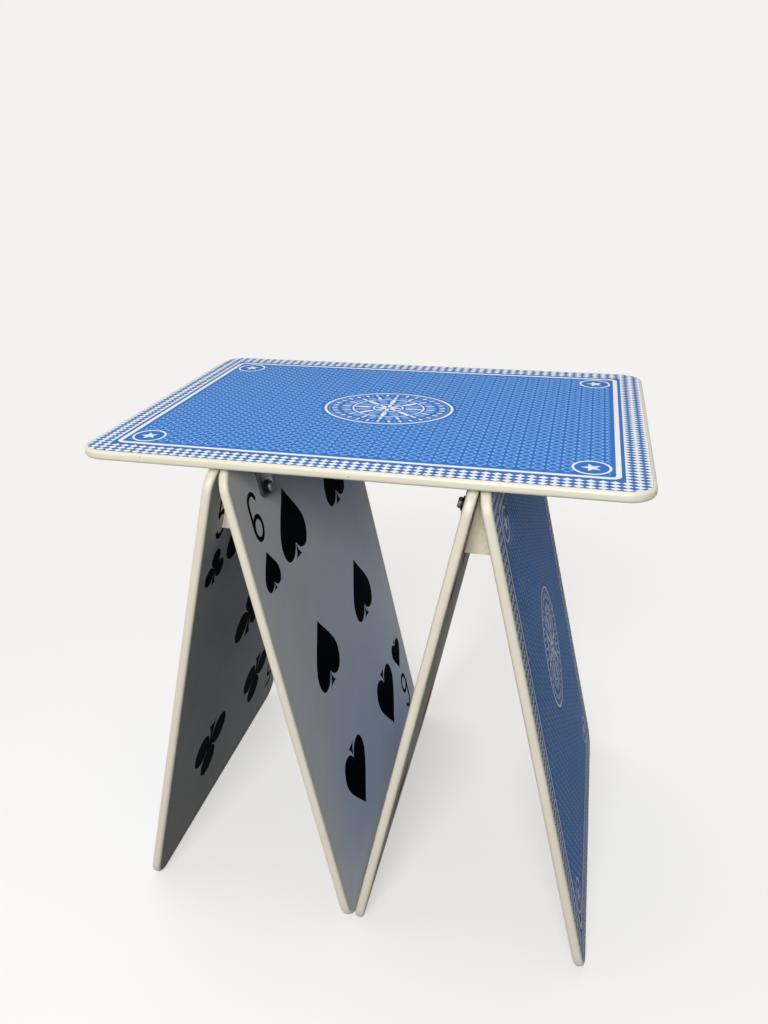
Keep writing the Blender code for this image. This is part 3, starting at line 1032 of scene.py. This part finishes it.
@dataclass
class CardFacePrint:
    """The pips and numbers of one card face."""

    name: str
    frame: Matrix
    suit: Suit
    number: int
    column_mm: float = 71.5
    row_mm: float = 150.4
    index_mm: Pair = (-141.4, 188.6)
    small_pip_mm: Pair = (-140.2, 132.2)
    small_scale: float = 0.52
    stroke_mm: float = 3.9

    def pip(self, ink: InkLayer, place: Matrix) -> None:
        """Adds one pip.

        Args:
            ink: The layer that gets it.
            place: The frame of its middle.
        """
        if self.suit is Suit.CLUB:
            for x, y, radius, steps in CLUB_DISCS:
                ink.disc(place @ Matrix.Translation((x, y, 0.0)), (radius, radius), steps)
        for outline in SUIT_OUTLINES[self.suit]:
            ink.outline(place, outline)

    def digit(self, ink: InkLayer, place: Matrix) -> None:
        """Adds the card's number to a layer, in the frame of its middle."""
        for draw, first, second, wider, *angles in NUMBER_STROKES[self.number]:
            draw(ink, place, first, second, self.stroke_mm + wider, *angles)

    def places(self) -> list[Pair]:
        """Where the big pips are: those below the middle are printed upside down.

        Returns:
            The x and y of each pip, in millimetres.
        """
        x, y = self.column_mm, self.row_mm
        spots = [(sx * x, sy * y) for sx in (-1, 1) for sy in (-1, 1)]
        if self.number == 5:
            spots.append((0.0, 0.0))
        if self.number in (6, 7, 8):
            spots += [(-x, 0.0), (x, 0.0)]
        if self.number in (7, 8):
            spots.append((0.0, y / 2))
        if self.number == 8:
            spots.append((0.0, -y / 2))
        return spots

    def build(self) -> Object:
        """Prints the face.

        Returns:
            The pips and numbers as one piece.
        """
        red = self.suit in (Suit.HEART, Suit.DIAMOND)
        ink = InkLayer(self.name, self.frame, RED_INK if red else BLACK_INK, Slot.WHITE_PRINT)
        half_turn = Matrix.Rotation(math.pi, 4, "Z")
        for x, y in self.places():
            spot = Matrix.Translation((x, y, 0.0))
            self.pip(ink, spot @ half_turn if y < 0.0 else spot)
        small = Matrix.Diagonal((self.small_scale, self.small_scale, 1.0, 1.0))
        for turn in (Matrix.Identity(4), half_turn):
            self.digit(ink, turn @ Matrix.Translation((*self.index_mm, 0.0)))
            self.pip(ink, turn @ Matrix.Translation((*self.small_pip_mm, 0.0)) @ small)
        return ink.build()


@dataclass
class CardBackOrnament:
    """The ornament on a card's back: a starred ring in each corner and a rosette in the middle."""

    name: str
    frame: Matrix
    ring_centre_mm: Pair = TOP_BACK.ring_centre
    ring_radius_mm: float = 16.1
    ring_line_mm: float = 2.2
    star_radius_mm: float = 8.6
    star_waist: float = 0.44
    star_corners: int = 10
    rosette_half_mm: Pair = (53.0, 66.0)
    oval_steps: int = 72
    petal_corners: int = 20

    def rings(self, ink: InkLayer) -> None:
        """Adds the four corner rings, each with a star that points up the card.

        Args:
            ink: The white layer.
        """
        x, y = self.ring_centre_mm
        for sx in (-1, 1):
            for sy in (-1, 1):
                spot = Matrix.Translation((sx * x, sy * y, 0.0))
                ink.arc(spot, (0.0, 0.0), (self.ring_radius_mm,) * 2, self.ring_line_mm)
                ink.disc(spot, (self.star_radius_mm,) * 2, self.star_corners, self.star_waist)

    def petal_ring(self, ink: InkLayer, count: int, reach: float, half: Pair, offset: float) -> None:
        """Adds a ring of petals to the rosette.

        Args:
            ink: The layer that gets them.
            count: How many there are.
            reach: How far their middles lie from the centre, as a share of the rosette.
            half: A petal's half width and half length in millimetres.
            offset: How far the ring is turned, in steps of one petal.
        """
        wide, high = self.rosette_half_mm
        squeeze = Matrix.Diagonal((wide / high, 1.0, 1.0, 1.0))
        for i in range(count):
            turn = Matrix.Rotation(2 * math.pi * (i + offset) / count, 4, "Z")
            spot = squeeze @ turn @ Matrix.Translation((0.0, reach * high, 0.0))
            ink.disc(spot, half, self.petal_corners)

    def build(self) -> list[Object]:
        """Prints the ornament.

        Returns:
            The white and the pale blue marks.
        """
        white = InkLayer(self.name + "_white", self.frame, WHITE_INK, Slot.BLUE_PRINT)
        pale = InkLayer(self.name + "_pale", self.frame, PALE_BLUE_INK, Slot.BLUE_PRINT)
        self.rings(white)
        wide, high = self.rosette_half_mm
        # Oval lines, each with its share of the rosette's size and its width
        ovals = ((white, 1.0, 2.2), (pale, 0.93, 0.9), (white, 0.56, 1.4), (white, 0.24, 1.4))
        for ink, share, line in ovals:
            outer = (wide * share, high * share)
            ink.arc(Matrix.Identity(4), (0.0, 0.0), outer, line, steps=self.oval_steps)
        # Rings of petals: how many, how far out, their half sizes and how far the ring is turned
        for ring in (
            (white, 32, 0.835, (1.5, 3.4), 0.0),
            (pale, 32, 0.835, (1.1, 3.4), 0.5),
            (pale, 16, 0.66, (4.0, 5.4), 0.5),
            (white, 16, 0.66, (1.7, 5.0), 0.0),
            (pale, 8, 0.4, (4.6, 8.6), 0.5),
            (white, 8, 0.4, (2.6, 9.2), 0.0),
            (white, 8, 0.12, (2.0, 5.4), 0.0),
        ):
            self.petal_ring(*ring)
        return [white.build(), pale.build()]


# --------------------------------------------------------------------------- cards


@dataclass
class Card:
    """One giant playing card: a painted board with a printed sheet let into each side."""

    name: str
    frame: Matrix
    back_side: int
    suit: Suit
    number: int
    leg: bool = True
    sizes: TableSizes = SIZES
    sheet_thickness: float = 0.0006
    sheet_gap: float = 0.00015
    rim: float = 0.0001
    corner_steps: int = 20
    edge_steps: int = 7

    def board(self) -> Object:
        """Makes the board, rounded all round, with a shallow recess for each sheet.

        Returns:
            The board.
        """
        s = self.sizes
        size = Vector((s.card_length, s.card_width, s.card_thickness))
        board = rounded_slab(size, s.corner_radius, self.corner_steps)
        rims = [e for e in board.edges if e.verts[0].co.z * e.verts[1].co.z > 0]
        round_edges(board, rims, s.edge_radius, self.edge_steps)
        for flat in sorted(board.faces, key=lambda f: f.calc_area())[-2:]:
            bmesh.ops.inset_individual(board, faces=[flat], thickness=self.rim, depth=0.0)
            floor = bmesh.ops.extrude_discrete_faces(board, faces=[flat])["faces"][0]
            depth = math.copysign(self.sheet_thickness + self.sheet_gap, -floor.calc_center_median().z)
            bmesh.ops.translate(board, vec=(0.0, 0.0, depth), verts=floor.verts)
        bmesh.ops.transform(board, matrix=self.frame, verts=board.verts)
        if self.leg:
            # The foot is cut off flat where it meets the floor
            geometry = [*board.verts, *board.edges, *board.faces]
            cut = bmesh.ops.bisect_plane(
                board, geom=geometry, plane_co=(0, 0, 0), plane_no=(0, 0, 1), clear_inner=True
            )
            bmesh.ops.holes_fill(board, edges=only(BMEdge, cut["geom_cut"]), sides=0)
        nodes = [self.name + "_board"]
        return make_piece(self.name + "_painted_board", board, IVORY, Slot.IVORY_PAINT, nodes)

    def side_frame(self, side: int) -> Matrix:
        """The frame of one side as its viewer sees it: X right, Y up the card, Z out.

        Args:
            side: The side, +1 or -1 along the card's own Z.

        Returns:
            The frame's matrix.
        """
        up = Vector((1.0 if self.leg else -1.0, 0.0, 0.0))
        out = Vector((0.0, 0.0, side))
        turn = Matrix((up.cross(out), up, out)).transposed().to_4x4()
        return self.frame @ Matrix.Translation(out * self.sizes.card_thickness / 2) @ turn

    def sheet(self, side: int, kind: str, finish: Finish, slot: Slot) -> Object:
        """Makes a printed sheet with the UV map that its print follows.

        Args:
            side: The side, +1 or -1 along the card's own Z.
            kind: Which sheet it is, back or face.
            finish: Its print.
            slot: The record's slot.

        Returns:
            The sheet.
        """
        s = self.sizes
        inset = s.edge_radius + self.rim + self.sheet_gap
        size = Vector((s.card_width - 2 * inset, s.card_length - 2 * inset, self.sheet_thickness))
        sheet = rounded_slab(size, s.corner_radius - inset, self.corner_steps)
        bmesh.ops.translate(sheet, vec=(0.0, 0.0, -self.sheet_thickness / 2), verts=sheet.verts)
        prints = sheet.loops.layers.uv.new(PRINT_MAP)
        for corner in (corner for face in sheet.faces for corner in face.loops):
            spot = corner.vert.co
            corner[prints].uv = (spot.x / s.card_width + 0.5, spot.y / s.card_length + 0.5)
        bmesh.ops.transform(sheet, matrix=self.side_frame(side), verts=sheet.verts)
        name, nodes = f"{self.name}_{kind}_sheet", [f"{self.name}_{kind}_print"]
        return make_piece(name, sheet, finish, slot, nodes)

    def build(self) -> list[Object]:
        """Makes the board, both sheets and what is printed on them.

        Returns:
            All the card's pieces.
        """
        back, face = self.side_frame(self.back_side), self.side_frame(-self.back_side)
        return [
            self.board(),
            self.sheet(self.back_side, "back", LEG_BACK if self.leg else TOP_BACK, Slot.BLUE_PRINT),
            self.sheet(-self.back_side, "face", CARD_FACE, Slot.WHITE_PRINT),
            *CardBackOrnament(self.name + "_back_ornament", back).build(),
            CardFacePrint(self.name + "_face_marks", face, self.suit, self.number).build(),
        ]


# --------------------------------------------------------------------------- rails and fasteners


@dataclass
class WedgeRail:
    """The tapered wooden rail inside the top of one pair of legs."""

    side_name: str
    side: int
    sizes: TableSizes = SIZES
    end_setback: float = 0.042
    bottom_down: float = 0.076
    tip_width: float = 0.004
    edge_round: float = 0.0007

    def build(self) -> Object:
        """Makes the rail from a block whose top is drawn in.

        Returns:
            The rail.
        """
        s = self.sizes
        lean, half = s.slant, s.card_thickness / 2
        meets = (s.inner_leg_x - s.apex_x + half * math.cos(lean)) / math.sin(lean)
        apex_z = s.leg_z - meets * math.cos(lean) - half * math.sin(lean)
        gap = s.fit_gap / math.cos(lean)
        top_z = apex_z - (self.tip_width / 2 + gap) / math.tan(lean)
        low_z = s.leg_z + (s.card_length / 2 - self.bottom_down) * math.cos(lean) - half * math.sin(lean)
        low_reach = (apex_z - low_z) * math.tan(lean) - gap
        rail = bmesh.new()
        bmesh.ops.create_cube(rail, size=1.0)
        size = (2 * low_reach, s.card_width - 2 * self.end_setback, top_z - low_z)
        bmesh.ops.scale(rail, vec=size, verts=rail.verts)
        upper = [v for v in rail.verts if v.co.z > 0]
        bmesh.ops.scale(rail, vec=(self.tip_width / 2 / low_reach, 1.0, 1.0), verts=upper)
        middle = (self.side * s.apex_x, 0.0, (low_z + top_z) / 2)
        bmesh.ops.translate(rail, vec=middle, verts=rail.verts)
        round_edges(rail, list(rail.edges), self.edge_round)
        name, nodes = self.side_name + "_painted_rail", [self.side_name + "_wedge_rail"]
        return make_piece(name, rail, RAIL_PAINT, Slot.IVORY_PAINT, nodes)


@dataclass
class SocketScrew:
    """A screw with a hexagon socket in its head, pointing down -Z from a face at height 0."""

    shank_radius: float
    head_radius: float
    head_height: float
    head_base: float
    reach: float
    socket_across: float
    socket_depth: float
    countersunk: bool = False
    edge_share: float = 0.25
    flat_share: float = 0.8
    mouth_share: float = 1.12
    lip: float = 0.0002
    dome_steps: int = 12
    base_steps: int = 3

    @property
    def crown(self) -> float:
        """The height of the head's top."""
        return self.head_base + self.head_height

    @property
    def socket_radius(self) -> float:
        """From the socket's middle to its corners."""
        return self.socket_across / math.sqrt(3)

    def section(self) -> list[Pair]:
        """The half section from the tip to the mouth of the socket.

        Returns:
            (radius, height) points.
        """
        shank, head, base, lip = self.shank_radius, self.head_radius, self.head_base, self.lip
        mouth = self.socket_radius * self.mouth_share
        tip = shank / 2
        low = [(0.0, -self.reach), (shank - tip, -self.reach), (shank, tip - self.reach)]
        if self.countersunk:
            rim = [(shank, base - (head - shank)), (head, base)]
            return [*low, *rim, (head, self.crown - lip), (head - lip, self.crown), (mouth, self.crown)]
        # A button head: a small round under its rim, and a dome that ends in a flat
        quarter = [math.pi / 2 * i / self.base_steps - math.pi / 2 for i in range(self.base_steps + 1)]
        under = [(head - lip + lip * math.cos(a), base + lip + lip * math.sin(a)) for a in quarter]
        edge = self.head_height * self.edge_share
        flat = head * self.flat_share
        rise = [math.pi / 2 * i / self.dome_steps for i in range(self.dome_steps + 1)]
        dome = [
            (flat + (head - flat) * math.cos(a), base + edge + (self.head_height - edge) * math.sin(a))
            for a in rise
        ]
        inner = [(mouth, self.crown)] if mouth < flat else []
        return [*low, (shank, base), *under, *dome, *inner]

    def shape(self, place: Matrix) -> BMesh:
        """Turns the screw, sinks its socket and puts it in its place.

        Args:
            place: The frame of the face that it is driven into.

        Returns:
            The new bmesh.
        """
        screw = bmesh.new()
        add_turned(screw, self.section(), closed=False)
        mouth = [e for e in screw.edges if e.is_boundary]
        on_top = Matrix.Translation((0.0, 0.0, self.crown))
        hexagon = bmesh.ops.create_circle(
            screw, cap_ends=False, segments=6, radius=self.socket_radius, matrix=on_top
        )["verts"]
        sides = [e for e in screw.edges if all(v in hexagon for v in e.verts)]
        bmesh.ops.bridge_loops(screw, edges=mouth + sides)
        sunk = bmesh.ops.extrude_edge_only(screw, edges=sides)["geom"]
        low = only(BMVert, sunk)
        bmesh.ops.translate(screw, vec=(0.0, 0.0, -self.socket_depth), verts=low)
        rim = [e for e in only(BMEdge, sunk) if all(v in low for v in e.verts)]
        bottom = bmesh.ops.holes_fill(screw, edges=rim, sides=0)["faces"]
        # The socket's walls and floor take the second finish, the near-black painted shade of the hole
        for face in only(BMFace, sunk) + bottom:
            face.material_index = 1
        bmesh.ops.transform(screw, matrix=place, verts=screw.verts)
        return screw


@dataclass
class CornerFastening:
    """One corner's bracket with its bolt, washer and screws, and the leg screw near it."""

    name: str
    side: int
    end: int
    sizes: TableSizes = SIZES
    width: float = 0.028
    thickness: float = 0.0025
    bend_radius: float = 0.0025
    end_margin: float = 0.0078
    end_radius: float = 0.0065
    first_screw: float = 0.018
    screw_pitch: float = 0.020
    washer_hole: float = 0.0033
    washer_radius: float = 0.0070
    washer_thickness: float = 0.0016
    washer_round: float = 0.00022
    bolt_beyond_leg: float = 0.011
    edge_round: float = 0.0004
    sharp_angle: float = math.radians(60)
    end_steps: int = 8
    bend_steps: int = 12

    @property
    def y(self) -> float:
        """Where the bracket's middle line is along the rail."""
        return self.end * self.sizes.bolt_y

    @property
    def leg_face(self) -> Matrix:
        """The frame on the inner leg's open face where the bolt goes in."""
        frame = self.sizes.leg_frame(self.side * self.sizes.inner_leg_x, -self.side * self.sizes.slant)
        return self.sizes.on_face(frame, self.sizes.bolt_down, self.y, self.side)

    def path(self) -> tuple[list[tuple[Vector, float]], Vector, Vector]:
        """The line that the bracket's outer face follows.

        Returns:
            Points of the line with the half width there, the corner where its two leaves would
            meet, and the direction of the leaf under the top.
        """
        s = self.sizes
        face = self.leg_face
        up = (face.to_3x3() @ Vector((1.0, 0.0, 0.0))).normalized()
        bolt = face @ Vector((0.0, 0.0, s.fit_gap))
        bolt.y = 0.0
        corner = bolt + up * ((s.underside_z - s.fit_gap - bolt.z) / up.z)
        out = Vector((-self.side, 0.0, 0.0))
        inner_angle = math.pi / 2 - s.slant
        radius = self.bend_radius + self.thickness
        start = corner - up * radius / math.tan(inner_angle / 2)
        centre = start + Vector((-up.z, 0.0, up.x)) * self.side * radius
        half = self.width / 2
        ends = []
        for i in range(self.end_steps + 1):
            angle = math.pi / 2 * i / self.end_steps
            beyond = self.end_margin - self.end_radius * (1 - math.cos(angle))
            ends.append((beyond, half - self.end_radius * (1 - math.sin(angle))))
        line = [(bolt - up * beyond, wide) for beyond, wide in ends]
        for i in range(self.bend_steps + 1):
            turn = -self.side * (math.pi - inner_angle) * i / self.bend_steps
            line.append((centre + Matrix.Rotation(turn, 3, "Y") @ (start - centre), half))
        last = corner + out * (self.first_screw + self.screw_pitch)
        line += [(last + out * beyond, wide) for beyond, wide in reversed(ends)]
        return line, corner, out

    def bracket(self) -> Object:
        """Bends the bracket from a strip with rounded ends.

        Returns:
            The bracket.
        """
        (first, half), *rest = self.path()[0]
        strip = bmesh.new()
        ends = [strip.verts.new((first.x, self.y + half * s, first.z)) for s in (-1, 1)]
        row = strip.edges.new(ends)
        for point, half in rest:
            grown = bmesh.ops.extrude_edge_only(strip, edges=[row])["geom"]
            fresh = only(BMVert, grown)
            for vert in fresh:
                vert.co = (point.x, self.y + math.copysign(half, vert.co.y - self.y), point.z)
            row = next(e for e in only(BMEdge, grown) if set(e.verts) == set(fresh))
        bmesh.ops.recalc_face_normals(strip, faces=strip.faces)
        leaf = max(strip.faces, key=lambda f: f.calc_center_median().z)
        if leaf.normal.z < 0:
            bmesh.ops.reverse_faces(strip, faces=strip.faces)
        bmesh.ops.solidify(strip, geom=strip.faces, thickness=self.thickness)
        bmesh.ops.recalc_face_normals(strip, faces=strip.faces)
        sharp = [e for e in strip.edges if e.calc_face_angle(0.0) > self.sharp_angle]
        round_edges(strip, sharp, self.edge_round)
        nodes = [self.name + "_bracket"]
        return make_piece(self.name + "_bent_bracket", strip, ZINC, Slot.ZINC_STEEL, nodes)

    def washer(self) -> Object:
        """Turns the washer under the bolt's head.

        Returns:
            The washer.
        """
        low = 2 * self.sizes.fit_gap + self.thickness
        high = low + self.washer_thickness
        hole, rim, nip = self.washer_hole, self.washer_radius, self.washer_round
        outside = [(rim - nip, low), (rim, low + nip), (rim, high - nip), (rim - nip, high)]
        ring = bmesh.new()
        add_turned(ring, [(hole, low), *outside, (hole, high)], closed=True)
        bmesh.ops.transform(ring, matrix=self.leg_face, verts=ring.verts)
        nodes = [self.name + "_washer"]
        # Its near-black steel is painted shade under the bolt's head
        return make_piece(self.name + "_plated_washer", ring, WASHER_SHADE_STEEL, Slot.ZINC_STEEL, nodes)

    def bolt(self) -> Object:
        """Makes the button bolt through the bracket, the leg and the rail.

        Returns:
            The bolt.
        """
        s = self.sizes
        bolt = SocketScrew(
            shank_radius=0.003,
            head_radius=0.00525,
            head_height=0.0033,
            head_base=3 * s.fit_gap + self.thickness + self.washer_thickness,
            reach=s.card_thickness + 2 * s.fit_gap + self.bolt_beyond_leg,
            socket_across=0.004,
            socket_depth=0.0018,
        ).shape(self.leg_face)
        name, nodes = self.name + "_button_bolt", [self.name + "_bolt"]
        return make_piece(name, bolt, BOLT_ZINC, Slot.ZINC_STEEL, nodes, SOCKET_SHADE_STEEL)

    def bracket_screw(self, where: str, distance: float) -> Object:
        """Makes a screw that holds the bracket under the top.

        Args:
            where: Which of the two it is, outer or inner.
            distance: How far it is from the bracket's bend.

        Returns:
            The screw.
        """
        _, corner, out = self.path()
        spot = Matrix.Translation((corner.x + out.x * distance, self.y, self.sizes.underside_z))
        screw = SocketScrew(
            shank_radius=0.002,
            head_radius=0.004,
            head_height=0.0026,
            head_base=2 * self.sizes.fit_gap + self.thickness,
            reach=0.0062,
            socket_across=0.0025,
            socket_depth=0.0012,
        ).shape(spot @ Matrix.Rotation(math.pi, 4, "X"))
        node = f"{self.name}_{where}_bracket_screw"
        return make_piece(f"{node}_turned", screw, BOLT_ZINC, Slot.ZINC_STEEL, [node], SOCKET_SHADE_STEEL)

    def leg_screw(self) -> Object:
        """Makes the black screw that is sunk flush in the outer leg.

        Returns:
            The screw.
        """
        s = self.sizes
        outer = s.leg_frame(self.side * s.outer_leg_x, self.side * s.slant)
        screw = SocketScrew(
            shank_radius=0.0024,
            head_radius=0.0048,
            head_height=0.0003,
            head_base=-0.0001,
            reach=0.023,
            socket_across=0.003,
            socket_depth=0.0015,
            countersunk=True,
        ).shape(s.on_face(outer, s.leg_screw_down, self.end * s.leg_screw_y, -self.side))
        name, nodes = self.name + "_black_leg_screw", [self.name + "_leg_screw"]
        return make_piece(name, screw, BLACK_OXIDE, Slot.BLACK_STEEL, nodes, SOCKET_SHADE_STEEL)

    def build(self) -> list[Object]:
        """Makes the corner's bracket, bolt, washer and screws.

        Returns:
            All its pieces.
        """
        return [
            self.bracket(),
            self.washer(),
            self.bolt(),
            self.bracket_screw("outer", self.first_screw),
            self.bracket_screw("inner", self.first_screw + self.screw_pitch),
            self.leg_screw(),
        ]


# --------------------------------------------------------------------------- studio and camera


@dataclass(frozen=True)
class SoftLamp:
    """A square lamp that points at the middle of the table. Its power is in watts."""

    name: str
    side: float
    power: float
    spot: Triple
    aim: Triple = (0.0, 0.0, 0.35)

    def hang(self) -> None:
        """Adds the lamp."""
        light = bpy.data.lights.new(self.name, "AREA")
        light.shape = "SQUARE"
        light.size = self.side
        light.energy = self.power
        lamp = bpy.data.objects.new(self.name, light)
        way = Vector(self.aim) - Vector(self.spot)
        turn = way.to_track_quat("-Z", "Y").to_matrix().to_4x4()
        lamp.matrix_world = Matrix.Translation(self.spot) @ turn
        bpy.context.scene.collection.objects.link(lamp)


@dataclass
class Studio:
    """A pale floor, a dim sky that is lighter behind and on the left, and three soft lamps."""

    floor_half: float = 12.0
    sky: str = "f3f2f0"
    sky_light: float = 0.08
    fill_light: float = 1.0
    ceiling: float = 0.3
    ceiling_heights: Pair = (0.2, 0.46)
    window_way: Triple = (-0.7, 0.71, 0.0)
    window_share: float = 0.75
    lamps: tuple[SoftLamp, ...] = (
        SoftLamp("front_softbox", 1.2, 82.0, (0.12, -2.6, 1.85)),
        SoftLamp("overhead_softbox", 1.6, 11.5, (0.0, 0.1, 2.5)),
        SoftLamp("right_hand_softbox", 1.2, 1.6, (2.6, 0.3, 0.7)),
    )

    def world(self) -> None:
        """Sets a surround that is pale to the eye and in gloss, and dim as a light.

        Gloss sees the pale backdrop up to 12 degrees above the floor, and the studio's dimmer
        ceiling from 28 degrees up. The light is stronger from behind and from the left, as from
        a wide window there.
        """
        world = bpy.data.worlds.new("studio_sky")
        world.use_nodes = True
        world.node_tree.nodes.clear()
        add = partial(add_node, world.node_tree)
        eye, gloss = ray_shares(add)
        way = add("TexCoord").outputs["Generated"]
        height = add("SeparateXYZ", (way,)).outputs["Z"]
        backdrop = add("MapRange", (height, *self.ceiling_heights, 1.0, self.ceiling))
        window = add("VectorMath", (way, self.window_way), operation="DOT_PRODUCT")
        fill = add("MapRange", (window, 0.0, self.window_share, self.sky_light, self.fill_light))
        light = add("Mix", (gloss, fill, backdrop), data_type="FLOAT")
        strength = add("Math", (eye, light), operation="MAXIMUM")
        add("OutputWorld", (add("Background", (self.sky, strength)),))
        bpy.context.scene.world = world

    def build(self) -> None:
        """Lays the floor, hangs the lamps and sets the sky."""
        paper = bmesh.new()
        bmesh.ops.create_grid(paper, x_segments=4, y_segments=4, size=self.floor_half)
        mesh = bpy.data.meshes.new("studio_floor")
        paper.to_mesh(mesh)
        paper.free()
        mesh.materials.append(StudioPaper().material())
        floor = bpy.data.objects.new("studio_floor", mesh)
        bpy.context.scene.collection.objects.link(floor)
        for lamp in self.lamps:
            lamp.hang()
        self.world()


@dataclass
class PhotographCamera:
    """The camera of the photograph, fitted to the table's own edges."""

    focal_px: float = 855.7
    yaw: float = -0.29274
    pitch: float = 0.3395
    roll: float = -0.02853
    spot: Triple = (0.190835, -0.81188, 0.75249)
    centre_px: Pair = (338.64, 446.28)
    frame_px: tuple[int, int] = (768, 1024)
    sensor_mm: float = 36.0
    clip_start: float = 0.02

    def build(self) -> None:
        """Adds the camera and makes it the scene's own."""
        level = math.cos(self.pitch)
        ahead = Vector((math.sin(self.yaw) * level, math.cos(self.yaw) * level, -math.sin(self.pitch)))
        right = Vector((math.cos(self.yaw), -math.sin(self.yaw), 0.0))
        up = right.cross(ahead)
        lean = Matrix.Rotation(-self.roll, 3, ahead)
        turn = Matrix((lean @ right, lean @ up, -ahead)).transposed().to_4x4()
        wide, high = self.frame_px
        lens = bpy.data.cameras.new("photograph_camera")
        lens.sensor_width = self.sensor_mm
        lens.lens = self.focal_px * self.sensor_mm / high
        lens.shift_x = (wide / 2 - self.centre_px[0]) / high
        lens.shift_y = (self.centre_px[1] - high / 2) / high
        lens.clip_start = self.clip_start
        camera = bpy.data.objects.new("photograph_camera", lens)
        camera.matrix_world = Matrix.Translation(self.spot) @ turn
        bpy.context.scene.collection.objects.link(camera)
        bpy.context.scene.camera = camera


# --------------------------------------------------------------------------- the table


def table_cards(s: TableSizes) -> list[Card]:
    """The five cards with their places.

    Args:
        s: The table's sizes.

    Returns:
        The cards, the top first.
    """
    top = Matrix.Translation((0.0, 0.0, s.underside_z + s.card_thickness / 2))
    return [
        Card("top", top, 1, Suit.HEART, 8, leg=False),
        Card("outer_left", s.leg_frame(-s.outer_leg_x, -s.slant), 1, Suit.CLUB, 5),
        Card("inner_left", s.leg_frame(-s.inner_leg_x, s.slant), 1, Suit.SPADE, 6),
        Card("inner_right", s.leg_frame(s.inner_leg_x, -s.slant), 1, Suit.HEART, 4),
        Card("outer_right", s.leg_frame(s.outer_leg_x, s.slant), -1, Suit.DIAMOND, 7),
    ]


def dress_inserts(nodes: dict[str, Object]) -> None:
    """Dresses the threaded inserts, whose CAD shape is right and hidden in the rails.

    Args:
        nodes: The CAD nodes by name.
    """
    for name, node in nodes.items():
        if name.endswith("_threaded_insert"):
            for holder in node.material_slots:
                holder.material = BRASS.material()


def main(frame: dict) -> None:
    """Builds the whole scene.
    """
    bpy.context.scene.view_settings.view_transform = "Standard"
    for card in table_cards(SIZES):
        log.info("card %s: %d pieces", card.name, len(card.build()))
    for side_name, side in (("left", -1), ("right", 1)):
        log.info("rail: %s", WedgeRail(side_name, side).build().name)
        for end_name, end in (("front", -1), ("rear", 1)):
            corner = CornerFastening(f"{end_name}_{side_name}", side, end)
            log.info("corner %s: %d pieces", corner.name, len(corner.build()))
    dress_inserts(frame["nodes"])
    Studio().build()
    PhotographCamera().build()


if __name__ == "__main__":
    logging.basicConfig(level=logging.INFO, format="%(message)s")
    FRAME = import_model()
    main(FRAME)
